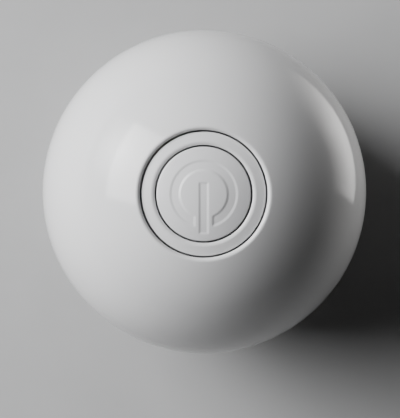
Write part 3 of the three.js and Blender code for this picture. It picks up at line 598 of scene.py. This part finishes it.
bowlSizes = {
    "segments": 288,
    "cells": 36,
    "halfTurn": math.radians(5),
    "width": 2.8 * mm,
    "low": linerLow[2] + 1.3 * mm,
    "high": linerHigh[2] - 1.3 * mm,
    "band": 2.2 * mm,            # plain shell above and below the slots
    "edge": 0.45 * mm,
    "across": 8,
    "up": 32,
    "outerSteps": 5,
    "innerSteps": 3,
    "seamSteps": 9,              # up the ball to the seam, and down its inside
    "seamBackSteps": 6,
    "footSteps": 30,             # down to the foot, up its inside and past the reflector's ledge
    "footBackSteps": 6,
    "riseSteps": 2,
    "footRound": 0.45 * mm,
    "coverOpening": coverHigh[0] + gap,
    "coverRound": 0.2 * mm,
    "ledge": coverHigh[2] + gap,
    "ledgeWidth": 1.5 * mm,
    "ledgeHeight": 1.6 * mm,
    "guideLedge": 36.0 * mm,     # the reflector rests on a ledge from this radius outwards
    "guideThickness": 1.5 * mm,
    "guideSlope": 1.8 * mm,      # height of the slope under that ledge
    "notch": 3.1 * mm,           # round each post
}
pocketSizes = {
    "turn": math.radians(90),
    "halfTurn": math.radians(20),
    "across": 32,
    "outerSteps": 8,
    "innerSteps": 5,
    "halfX": 6.75 * mm,
    "halfZ": 3.75 * mm,
    "edge": 0.5 * mm,
    "footRound": 0.25 * mm,
    "depth": 3.6 * mm,           # from the ball's surface to the pocket's floor
    "wall": 2.0 * mm,            # shell left behind the pocket's floor
    "mouthX": 4.8 * mm,
    "mouthZ": 1.96 * mm,
    "mouthEdge": 0.2 * mm,
    "blockX": 9.5 * mm,
    "blockZ": 4.75 * mm,
    "blockRound": 0.5 * mm,
}


def outTo(radius, loop, sink=0.0):
    # loop of (along, z) laid on the ball, sunk inwards: out = sqrt(radius^2 - height^2 - along^2) - sink
    along, z = loop.T
    out = np.sqrt(radius ** 2 - (z - ball["centreZ"]) ** 2 - along ** 2) - sink
    return np.stack([out, along, z], axis=-1)


def flatAt(out, loop):
    # loop of (along, z) laid in an upright plane
    return np.stack([np.full(len(loop), out), *loop.T], axis=-1)


def ballPatch(radius, loop, turn, height, steps):
    # the ball's surface from a cut's loop out to the patch's edges, its angle and height evenly blended
    along, z = loop.T
    t = np.linspace(0, 1, steps + 1)[:, None]
    angle = np.arcsin(along / np.sqrt(radius ** 2 - (z - ball["centreZ"]) ** 2))
    angle = angle + (turn - angle) * t
    z = z + (height - z) * t
    out = np.sqrt(radius ** 2 - (z - ball["centreZ"]) ** 2)
    return np.stack([out * np.cos(angle), out * np.sin(angle), z], axis=-1)


def roundedMouth(loopAt, layAt, edge):
    # a quarter round into a cut: the loop shrinks while it sinks
    return [layAt(loopAt(inset), sink) for inset, sink in quarterRound(edge, 4)]


def sunkMouth(loopAt, edge):
    # the same into a cut that starts on the ball
    return roundedMouth(loopAt, lambda loop, sink: outTo(ball["radius"], loop, sink), edge)


def slotCell(s):
    # one slot with the shell round it: outer face, rounded mouth, walls and inner face
    square = squareLoop(s["across"], s["up"])
    middle, half = (s["low"] + s["high"]) / 2, (s["high"] - s["low"]) / 2
    turn, height = square[:, 0] * s["halfTurn"], middle + square[:, 1] * (half + s["band"])

    def loopAt(grow):
        # the slot's outline, grown outwards all round
        return pulledLoop(square, s["width"] / 2, half, s["width"] / 2, grow) + [0, middle]

    mouth = sunkMouth(loopAt, s["edge"])
    outer = ballPatch(ball["radius"], loopAt(s["edge"]), turn, height, s["outerSteps"])[::-1]
    inner = ballPatch(ball["inner"], loopAt(0), turn, height, s["innerSteps"])
    wall = easedRows(mouth[-1], inner[0], 2)[1:-1]
    return np.concatenate([outer[:-1], mouth, wall, inner])


def portCell(s, b):
    # the sunk flat with the port's mouth and the thick block behind it; the flat lies
    # sqrt(radius^2 - height^2) - depth out from the axis
    square = squareLoop(s["across"], b["up"])
    middle, half = (b["low"] + b["high"]) / 2, (b["high"] - b["low"]) / 2
    turn, height = square[:, 0] * s["halfTurn"], middle + square[:, 1] * (half + b["band"])
    floor = math.sqrt(ball["radius"] ** 2 - (portZ - ball["centreZ"]) ** 2) - s["depth"]
    back = floor - s["wall"]

    def pocketAt(grow):
        # the pocket's outline, grown outwards all round
        return pulledLoop(square, s["halfX"], s["halfZ"], s["halfZ"], grow) + [0, portZ]

    def mouthAt(grow):
        # the mouth's outline, grown outwards all round
        return pulledLoop(square, s["mouthX"], s["mouthZ"], s["mouthZ"], grow) + [0, portZ]

    outer = ballPatch(ball["radius"], pocketAt(s["edge"]), turn, height, s["outerSteps"])[::-1]
    brim = sunkMouth(pocketAt, s["edge"])
    foot = [flatAt(floor + rise, pocketAt(-inset)) for rise, inset in quarterRound(s["footRound"], 4)]
    mouth = roundedMouth(mouthAt, lambda loop, sink: flatAt(floor - sink, loop), s["mouthEdge"])
    block = pulledLoop(square, s["blockX"], s["blockZ"], s["blockRound"]) + [0, portZ]
    inner = ballPatch(ball["inner"], block, turn, height, s["innerSteps"])
    return np.concatenate([
        outer[:-1], brim, foot, easedRows(foot[-1], mouth[0], 3)[1:-1], mouth,
        easedRows(flatAt(back, mouthAt(0)), flatAt(back, block), 2), inner])


def bowlBands(s):
    # plain turned bands above and below the slots, the lower one with the ledges inside
    low, high = s["low"] - s["band"], s["high"] + s["band"]
    up = ballArc(ball["radius"], high, ball["bowlEdge"], s["seamSteps"])
    down = ballArc(ball["inner"], ball["bowlEdge"], high, s["seamBackSteps"])
    seam = [*up[:-1], (*up[-1], ball["seamRound"]), (*down[0], ball["innerRound"]), *down[1:]]
    ledgeTop = guideBottom - gap
    ledgeLow = ledgeTop - s["guideThickness"]
    floorR = s["coverOpening"] - s["ledgeWidth"]
    floorTop = s["ledge"] + s["ledgeHeight"]
    out = ballArc(ball["radius"], low, ball["underside"], s["footSteps"])
    back = ballArc(ball["inner"], floorTop, ledgeLow - s["guideSlope"], s["footBackSteps"])
    rise = ballArc(ball["inner"], ledgeTop, low, s["riseSteps"])
    base = [
        *out[:-1], (*out[-1], s["footRound"]), (s["coverOpening"], ball["underside"], s["coverRound"]),
        (s["coverOpening"], s["ledge"]), (floorR, s["ledge"]), (floorR, floorTop),
        *back, (s["guideLedge"], ledgeLow), (s["guideLedge"], ledgeTop), *rise,
    ]
    upper = turnedGrid(filleted(seam, 4, closed=False), s["segments"])
    lower = turnedGrid(filleted(base, 5, closed=False), s["segments"])
    return [upper, notchedLedge(lower, floorR, s["notch"])]


def notchedLedge(grid, floorR, notch):
    # the ledge's inner edge pushed out to the far side of a round notch at each post:
    # circle cos a + sqrt(notch^2 - (circle sin a)^2), a the angle from the post
    x, y = grid[..., 0], grid[..., 1]
    r, a = np.hypot(x, y), np.arctan2(y, x)
    away = a[..., None] - postTurns
    side = postCircle * np.sin(away)
    reach = postCircle * np.cos(away) + np.sqrt(np.maximum(notch ** 2 - side ** 2, 0))
    reach = np.where((np.abs(side) < notch) & (np.cos(away) > 0), reach, 0).max(axis=-1)
    onLedge = np.abs(r - floorR) < sameRadius
    stretch = np.where(onLedge, np.maximum(reach, r), r) / np.maximum(r, weldDistance)
    return grid * np.stack([stretch, stretch, np.ones_like(r)], axis=-1)


def bowlGrids(s, p):
    # a slot in every cell but those the port takes, then the bands
    cell = slotCell(s)
    turns = (np.arange(s["cells"]) + 0.5) * 2 * s["halfTurn"]
    turns = turns[np.abs(turns - p["turn"]) > p["halfTurn"]]
    return [turnedCell(cell, turn) for turn in turns] + [turnedCell(portCell(p, s), p["turn"])] + bowlBands(s)


addPiece("bowlShell", bowlGrids(bowlSizes, pocketSizes), "glossWhite", nodes=["lower_shell"])
print("lower shell made")


footSizes = {
    "segments": 256,
    "tread": 0.9 * mm,           # round of the tread's edges
    "edge": 0.25 * mm,
    "draft": 0.6 * mm,           # tread narrower than the top
}
coverSizes = {
    "segments": 288,
    "discRings": 10,
    "chamfer": 0.5 * mm,
    "rimRound": 0.15 * mm,
    "boreRadius": 2.5 * mm,
    "boreDepth": 1.5 * mm,
    "holeRadius": 1.5 * mm,
    "edge": 0.1 * mm,
    "cellInner": 18.0 * mm,
    "halfTurn": math.radians(10),
    "across": 16,
    "up": 12,
    "cellSteps": 5,
}
screwSizes = {
    "spokes": 96,
    "rings": 30,
    "head": 2.2 * mm,
    "headHeight": 1.1 * mm,
    "rim": 0.45 * mm,            # crown's foot, from the top of the head
    "rimRound": 0.2 * mm,
    "flat": 1.95 * mm,
    "crown": 0.18 * mm,
    "arm": 1.36 * mm,
    "armHalf": 0.3 * mm,
    "armCorner": 0.1 * mm,
    "recess": 0.6 * mm,
    "softness": 0.1 * mm,
    "shank": 1.2 * mm,
}


def footProfile(s):
    # rubber ring with a broad rounded tread
    low, high = span("foot_ring")
    outer, inner = high[0], bowlSizes["coverOpening"] + gap
    corners = [(inner, low[2], s["tread"]), (outer - s["draft"], low[2], s["tread"]),
               (outer, high[2], s["edge"]), (inner, high[2], s["edge"])]
    return filleted(corners, 8)


def coverCell(s):
    # counterbored hole: flat face, rounded mouth, bore, seat, hole and the face above
    square = squareLoop(s["across"], s["up"])
    outer = coverHigh[0] - s["chamfer"]
    turn = square[:, 0] * s["halfTurn"]
    reach = (outer + s["cellInner"]) / 2 + square[:, 1] * (outer - s["cellInner"]) / 2

    def circle(radius, z):
        # a circle about the post, at a height
        along, out = pulledLoop(square, radius, radius, radius).T
        return np.stack([out + postCircle, along, np.full(len(square), z)], axis=-1)

    def flatPatch(loop):
        # from the hole out to the cell's edges, angle and distance evenly blended
        out, along, z = loop.T
        t = np.linspace(0, 1, s["cellSteps"] + 1)[:, None]
        angle, far = np.arctan2(along, out), np.hypot(out, along)
        angle, far = angle + (turn - angle) * t, far + (reach - far) * t
        return np.stack([far * np.cos(angle), far * np.sin(angle), z + 0 * far], axis=-1)

    seat = coverLow[2] + s["boreDepth"]
    edge = quarterRound(s["edge"], 3)
    mouth = [circle(s["boreRadius"] + inset, coverLow[2] + sink) for inset, sink in edge]
    bore = [circle(s["boreRadius"], seat), circle(s["holeRadius"], seat)]
    above = flatPatch(circle(s["holeRadius"], coverHigh[2]))
    return np.concatenate([flatPatch(mouth[0])[::-1][:-1], mouth, bore, above])


def coverGrids(s):
    # inner disc, outer edge, the four holes' cells and the plain face between them
    low, high, outer = coverLow, coverHigh, coverHigh[0] - s["chamfer"]
    edge = [(outer, low[2]), (high[0], low[2] + s["chamfer"], s["rimRound"]),
            (high[0], high[2], s["rimRound"]), (outer, high[2])]
    grids = [turnedGrid(filleted(edge, 4, closed=False), s["segments"])]
    step = 2 * np.pi / s["segments"]
    ends = np.append(postTurns, postTurns[0] + 2 * np.pi)
    reach = np.linspace(s["cellInner"], outer, s["up"] + 1)
    disc = np.linspace(0, s["cellInner"], s["discRings"])
    for z in (low[2], high[2]):
        grids.append(turnedGrid(np.stack([disc, np.full(len(disc), z)], axis=-1), s["segments"]))
        for first, last in zip(ends[:-1] + s["halfTurn"], ends[1:] - s["halfTurn"]):
            face = np.stack([reach, np.full(len(reach), z)], axis=-1)
            grids.append(turnedGrid(face, round((last - first) / step), first, last))
    return grids + [turnedCell(coverCell(s), turn) for turn in postTurns]


def screwGrids(node, s):
    # crowned head, crown (r / flat)^2, with a cross recess pressed in; then its side, seat, shank and point
    low, high = span(node)
    a = np.linspace(0, 2 * np.pi, s["spokes"] + 1)
    r = np.linspace(0, s["flat"], s["rings"])[:, None]
    x, y = r * np.cos(a), r * np.sin(a)
    across = roundedOverlap(np.abs(x) - s["arm"], np.abs(y) - s["armHalf"], s["armCorner"])
    upright = roundedOverlap(np.abs(y) - s["arm"], np.abs(x) - s["armHalf"], s["armCorner"])
    recess = s["recess"] * eased(np.minimum(across, upright), s["softness"])
    head = np.stack([x, y, low[2] + s["crown"] * np.square(r / s["flat"]) + recess], axis=-1)
    seat = low[2] + s["headHeight"]
    corners = [(s["flat"], low[2] + s["crown"]), (s["head"], low[2] + s["rim"], s["rimRound"]),
               (s["head"], seat), (s["shank"], seat), (s["shank"], high[2] - s["shank"]), (0, high[2])]
    body = turnedGrid(filleted(corners, 4, closed=False), s["spokes"])
    place = (low + high) / 2 * [1, 1, 0]
    return [head + place, body + place]


addPiece("footRing", [turnedGrid(footProfile(footSizes), footSizes["segments"])],
         "footRubber", nodes=["foot_ring"])
addPiece("baseCover", coverGrids(coverSizes), "coverGrey", nodes=["base_cover"])
for number, screwNode in enumerate(screwNodes, 1):
    addPiece(f"baseScrew{number}", screwGrids(screwNode, screwSizes),
             "screwSteel", nodes=[screwNode])
print("foot, cover and screws made")


seamGasketSizes = {
    "segments": 256,
    "thickness": 1.2 * mm,
    "edge": 0.3 * mm,
}
linerSizes = {
    "segments": 280,
    "rows": 24,
    "thickness": 0.7 * mm,
    "portHalf": pocketSizes["blockX"] + 0.6 * mm,    # half the opening left for the port's block
    "portSlack": math.radians(0.3),
}


def gasketProfile(s):
    # soft-cornered band behind the seam
    low, high = span("seam_gasket")
    inner, outer, edge = high[0] - s["thickness"], high[0], s["edge"]
    corners = [(inner, low[2], edge), (outer, low[2], edge), (outer, high[2], edge), (inner, high[2], edge)]
    return filleted(corners, 5)


def linerGrid(s):
    # cloth band inside the slots; both ends by the port are closed by the band's own middle line
    low, high, rows = linerLow, linerHigh, s["rows"] + 1
    out = ballArc(ball["inner"] - gap, low[2], high[2], s["rows"])
    back = ballArc(ball["inner"] - gap - s["thickness"], high[2], low[2], s["rows"])
    gapTurn = math.asin(s["portHalf"] / high[1]) + s["portSlack"]
    profile = np.vstack([out, back, out[:1]])
    grid = turnedGrid(profile, s["segments"], np.pi / 2 + gapTurn, 5 * np.pi / 2 - gapTurn)
    middle = (grid[:rows] + grid[rows:2 * rows][::-1]) / 2
    middle = np.concatenate([middle, middle[::-1], middle[:1]])
    return np.concatenate([middle[:, :1], grid, middle[:, -1:]], axis=1)


addPiece("seamGasket", [turnedGrid(gasketProfile(seamGasketSizes), seamGasketSizes["segments"])],
         "sealRubber", nodes=["seam_gasket"])
addPiece("grilleLiner", [linerGrid(linerSizes)], "linerCloth", nodes=["grille_liner"])
print("gasket and liner made")


portSizes = {
    "across": 24,
    "up": 16,
    "skin": 0.35 * mm,
    "floor": 1 * mm,
    "lipSteps": 6,
}
tongueSizes = {
    "across": 16,
    "up": 6,
    "thickness": 0.7 * mm,
    "side": 1.15 * mm,           # tongue's side inside the shell's
    "front": 1.0 * mm,           # its end behind the mouth
    "root": 0.5 * mm,            # its root in the shell's floor
    "corner": 0.12 * mm,
    "nose": 0.2 * mm,
}
collarSizes = {
    "across": 24,
    "up": 16,
    "wall": 1 * mm,
}


def backwards(rows):
    # (out, along, z) loops at the back: out is +Y, along is -X
    return turnedCell(np.asarray(rows), np.pi / 2)


def portShellGrid(s):
    # tube of the port's shape: outside, rounded mouth, inside, closed at the back
    square = squareLoop(s["across"], s["up"])
    halfX, halfZ = (portHigh[0] - portLow[0]) / 2, (portHigh[2] - portLow[2]) / 2
    back, front, halfSkin = portLow[1], portHigh[1], s["skin"] / 2

    def loopAt(out, shrink):
        # the port's outline at a distance out, shrunk all round
        return flatAt(out, pulledLoop(square, halfX, halfZ, halfZ, -shrink) + [0, portZ])

    a = np.linspace(0, np.pi, s["lipSteps"] + 1)
    lip = [loopAt(front - halfSkin * (1 - math.sin(v)), halfSkin * (1 - math.cos(v))) for v in a]
    point = np.full_like(lip[0], [back, 0, portZ])
    deep = np.full_like(lip[0], [back + s["floor"], 0, portZ])
    return backwards([point, loopAt(back, 0), *lip, loopAt(back + s["floor"], s["skin"]), deep])


def tongueGrid(s):
    # flat tongue with a rounded front end
    square = squareLoop(s["across"], s["up"])
    halfX, half = (portHigh[0] - portLow[0]) / 2 - s["side"], s["thickness"] / 2
    back, front = portLow[1] + s["root"], portHigh[1] - s["front"]

    def loopAt(out, shrink):
        # the tongue's outline at a distance out, shrunk all round
        outline = pulledLoop(square, halfX - shrink, half - shrink, s["corner"] - shrink / 2)
        return flatAt(out, outline + [0, portZ])

    nose = [loopAt(front - inset, shrink) for inset, shrink in quarterRound(s["nose"], 4)]
    root, tip = np.full_like(nose[0], [back, 0, portZ]), np.full_like(nose[0], [front, 0, portZ])
    return backwards([root, loopAt(back, 0), *nose, tip])


def collarGrid(s):
    # soft collar round the port behind the shell's block
    low, high = span("port_gasket")
    square = squareLoop(s["across"], s["up"])
    outside = (high[0] - low[0]) / 2, (high[2] - low[2]) / 2
    inside = outside[0] - s["wall"], outside[1] - s["wall"]

    def loopAt(out, x, z):
        # an outline of half sizes x and z, at a distance out
        return flatAt(out, pulledLoop(square, x, z, z) + [0, (low[2] + high[2]) / 2])

    rows = [loopAt(low[1], *inside), loopAt(low[1], *outside), loopAt(high[1], *outside),
            loopAt(high[1], *inside), loopAt(low[1], *inside)]
    return backwards(rows)


addPiece("portShell", [portShellGrid(portSizes)], "portSteel", nodes=["charge_port"])
addPiece("portTongue", [tongueGrid(tongueSizes)], "switchPlastic")
addPiece("portGasket", [collarGrid(collarSizes)], "sealRubber", nodes=["port_gasket"])
print("port made")


springSizes = {
    "radius": 5.6 * mm,
    "wire": 0.5 * mm,
    "turns": 5,
    "steps": 320,
    "sides": 12,
    "travel": 0.8 * mm,
}


def springGrid(low, high, s):
    # round wire along a helix; the pitch eases off so that both end turns lie flat
    t = np.linspace(0, 1, s["steps"] + 1)
    turn = 2 * np.pi * s["turns"] * t
    flat = 1 / s["turns"]
    rise = np.clip((t - flat / 2) / (1 - flat), 0, 1)
    z = low[2] + s["wire"] + (high[2] - low[2] - 2 * s["wire"]) * rise
    side = np.linspace(0, 2 * np.pi, s["sides"] + 1)
    out = s["radius"] + s["wire"] * np.outer(np.cos(side), np.ones_like(t))
    up = z + s["wire"] * np.outer(np.sin(side), np.ones_like(t))
    grid = np.stack([out * np.cos(turn), out * np.sin(turn), up], axis=-1)
    first = np.repeat(grid[:-1, :1].mean(axis=0, keepdims=True), s["sides"] + 1, axis=0)
    last = np.repeat(grid[:-1, -1:].mean(axis=0, keepdims=True), s["sides"] + 1, axis=0)
    return np.concatenate([first, grid, last], axis=1)


def addSpring(s):
    # the spring as a piece on the housing, with a mesh of its own
    low, high = span("button_spring")
    spring = addPiece("buttonSpring", [springGrid(low, high, s)],
                      "partSteel", nodes=["button_spring"])
    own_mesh(spring)


addSpring(springSizes)
print("spring made")


innerFinishes = {
    "boardWhite": ["control_board", "wifi_antenna"],
    "boardGreen": ["main_board", "port_board"],
    "switchPlastic": ["switch_body", "switch_plunger"],
    "screwSteel": ["control_screw", "chassis_screw", "driver_screw", "board_screw"],
    "partSteel": ["driver_basket", "magnet_top_plate", "pole_yoke", "shield_can", "microphone"],
    "framePlastic": ["waveguide", "baffle_frame"],
    "sealRubber": ["driver_gasket", "surround"],
    "conePaper": ["driver_cone", "dust_cap"],
    "copper": ["voice_coil"],
    "spiderCloth": ["spider"],
    "ferrite": ["driver_magnet"],
    "cellWrap": ["battery_pack"],
    "flexWhite": ["board_ribbon"],
    "leadRed": ["battery_lead"],
    "leadBlack": ["charge_lead", "speaker_lead"],
    "ledLens": ["led"],
}


def repaintInside():
    # every CAD node that still shows takes its finish; numbered copies share their name's
    for finishName, names in innerFinishes.items():
        for name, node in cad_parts.items():
            if name.rstrip("0123456789").rstrip("_") in names:
                node.data.materials.clear()
                node.data.materials.append(finish[finishName])


repaintInside()
print("inner parts finished")


floorSizes = {
    "half": 3.0,
    "drop": 0.02 * mm,           # under the foot, so that the two faces don't fight
}
keySoftbox = {
    "direction": (0.735, -0.288, 0.605),     # from the ball's middle
    "distance": 0.95,
    "size": (0.84, 0.6),
    "power": 16,
    "across": (0.04, 0.04),      # shares of its face that fade at either end
    "upward": (0.04, 0.04),
    "color": (0.985, 0.99, 1),
    "spread": 180,
}
lowSoftbox = {
    "direction": (0.82, -0.4, 0.38),
    "distance": 1.4,
    "size": (1.0, 1.1),
    "power": 54,
    "across": (0.48, 0.48),
    "upward": (0.48, 0.48),
    "color": (0.985, 0.99, 1),
    "spread": 180,
}
rimCard = {
    "turn": 26,                  # degrees from -X towards -Y
    "away": 102 * mm,
    "height": 34 * mm,
    "rise": 28,                  # tipped up, so that it leaves the floor dark
    "size": (112 * mm, 54 * mm),
    "power": 0.019,
    "across": (0.05, 0.5),
    "upward": (0.04, 0.75),      # brightest at its foot
    "color": (1, 0.985, 0.965),
    "spread": 80,
}
cameraSizes = {
    "distance": 0.70,
    "lens": 194.5,
    "sensor": 36,
    "lean": 0.81,                # degrees from straight above, to the front
    "sideLean": 0.24,            # and to the side
    "right": 1.364 * mm,         # aim beside the ball's middle
    "up": 5.363 * mm,
    "nearest": 0.05,
    "farthest": 20,
}
worldStrength = 0.02
ballMiddle = Vector((0, 0, ball["centreZ"]))


def addFloor(s):
    # a flat square on which the foot stands
    half, z = s["half"], -s["drop"]
    mesh = bpy.data.meshes.new("floor")
    corners = [(-half, -half, z), (half, -half, z), (half, half, z), (-half, half, z)]
    mesh.from_pydata(corners, [], [(0, 1, 2, 3)])
    mesh.materials.append(finish["floorPale"])
    floor = bpy.data.objects.new("floor", mesh)
    bpy.context.scene.collection.objects.link(floor)


def fadedEdge(tree, place, low, high):
    # rises over the first share of the light's face and falls over the last share
    rise = ranged(tree, place, 0, 1, 0, low)
    fall = ranged(tree, place, 0, 1, 1, 1 - high)
    return calculated(tree, "MULTIPLY", rise, fall)


def fadeLight(light, across, upward):
    # the light dims towards its edges; across and upward give the shares that fade at either end
    light.use_nodes = True
    tree = light.node_tree
    face = addNode(tree, "ShaderNodeNewGeometry")
    apart = addNode(tree, "ShaderNodeSeparateXYZ")
    tree.links.new(face.outputs["Parametric"], apart.inputs["Vector"])
    fadeX = fadedEdge(tree, apart.outputs["X"], *across)
    fadeY = fadedEdge(tree, apart.outputs["Y"], *upward)
    tree.links.new(calculated(tree, "MULTIPLY", fadeX, fadeY), tree.nodes["Emission"].inputs["Strength"])


def addPanel(name, place, target, s):
    # a rectangular light at a place, facing a target, its edges faded
    light = bpy.data.lights.new(name, "AREA")
    light.shape = "RECTANGLE"
    light.size, light.size_y = s["size"]
    light.energy = s["power"]
    light.color = s["color"]
    light.spread = math.radians(s["spread"])
    fadeLight(light, s["across"], s["upward"])
    panel = bpy.data.objects.new(name, light)
    bpy.context.scene.collection.objects.link(panel)
    panel.visible_camera = False
    panel.location = place
    panel.rotation_mode = "QUATERNION"
    panel.rotation_quaternion = (Vector(target) - Vector(place)).to_track_quat("-Z", "Y")


def addSoftbox(name, s):
    # a softbox in a direction from the ball's middle, facing it
    addPanel(name, ballMiddle + Vector(s["direction"]).normalized() * s["distance"], ballMiddle, s)


def addStripCard(name, s):
    # a strip beside the ball, aimed away * tan(rise) over its own height
    turn, away = math.radians(s["turn"]), s["away"]
    place = Vector((-away * math.cos(turn), -away * math.sin(turn), s["height"]))
    target = Vector((0, 0, s["height"] + away * math.tan(math.radians(s["rise"]))))
    addPanel(name, place, target, s)


def addCamera(s):
    # almost straight above, with the front of the speaker at the top of its view
    camera = bpy.data.cameras.new("camera")
    camera.lens, camera.sensor_width = s["lens"], s["sensor"]
    camera.clip_start, camera.clip_end = s["nearest"], s["farthest"]
    tips = -math.sin(math.radians(s["sideLean"])), -math.sin(math.radians(s["lean"]))
    back = Vector((*tips, 1)).normalized()
    right = Vector((0, -1, 0)).cross(back).normalized()
    up = back.cross(right)
    place = ballMiddle + back * s["distance"]
    target = ballMiddle - right * s["right"] - up * s["up"]
    ahead = (place - target).normalized()
    side = up.cross(ahead).normalized()
    top = ahead.cross(side)
    eye = bpy.data.objects.new("camera", camera)
    bpy.context.scene.collection.objects.link(eye)
    eye.matrix_world = Matrix((
        (side.x, top.x, ahead.x, place.x),
        (side.y, top.y, ahead.y, place.y),
        (side.z, top.z, ahead.z, place.z),
        (0, 0, 0, 1)))
    bpy.context.scene.camera = eye


def addWorld(strength):
    # a faint even white all round
    world = bpy.data.worlds.new("studio")
    world.use_nodes = True
    backdrop = world.node_tree.nodes["Background"]
    backdrop.inputs["Color"].default_value = (1, 1, 1, 1)
    backdrop.inputs["Strength"].default_value = strength
    bpy.context.scene.world = world


addFloor(floorSizes)
addSoftbox("keySoftbox", keySoftbox)
addSoftbox("lowSoftbox", lowSoftbox)
addStripCard("rimCard", rimCard)
addWorld(worldStrength)
addCamera(cameraSizes)
print("floor, lights and camera made")
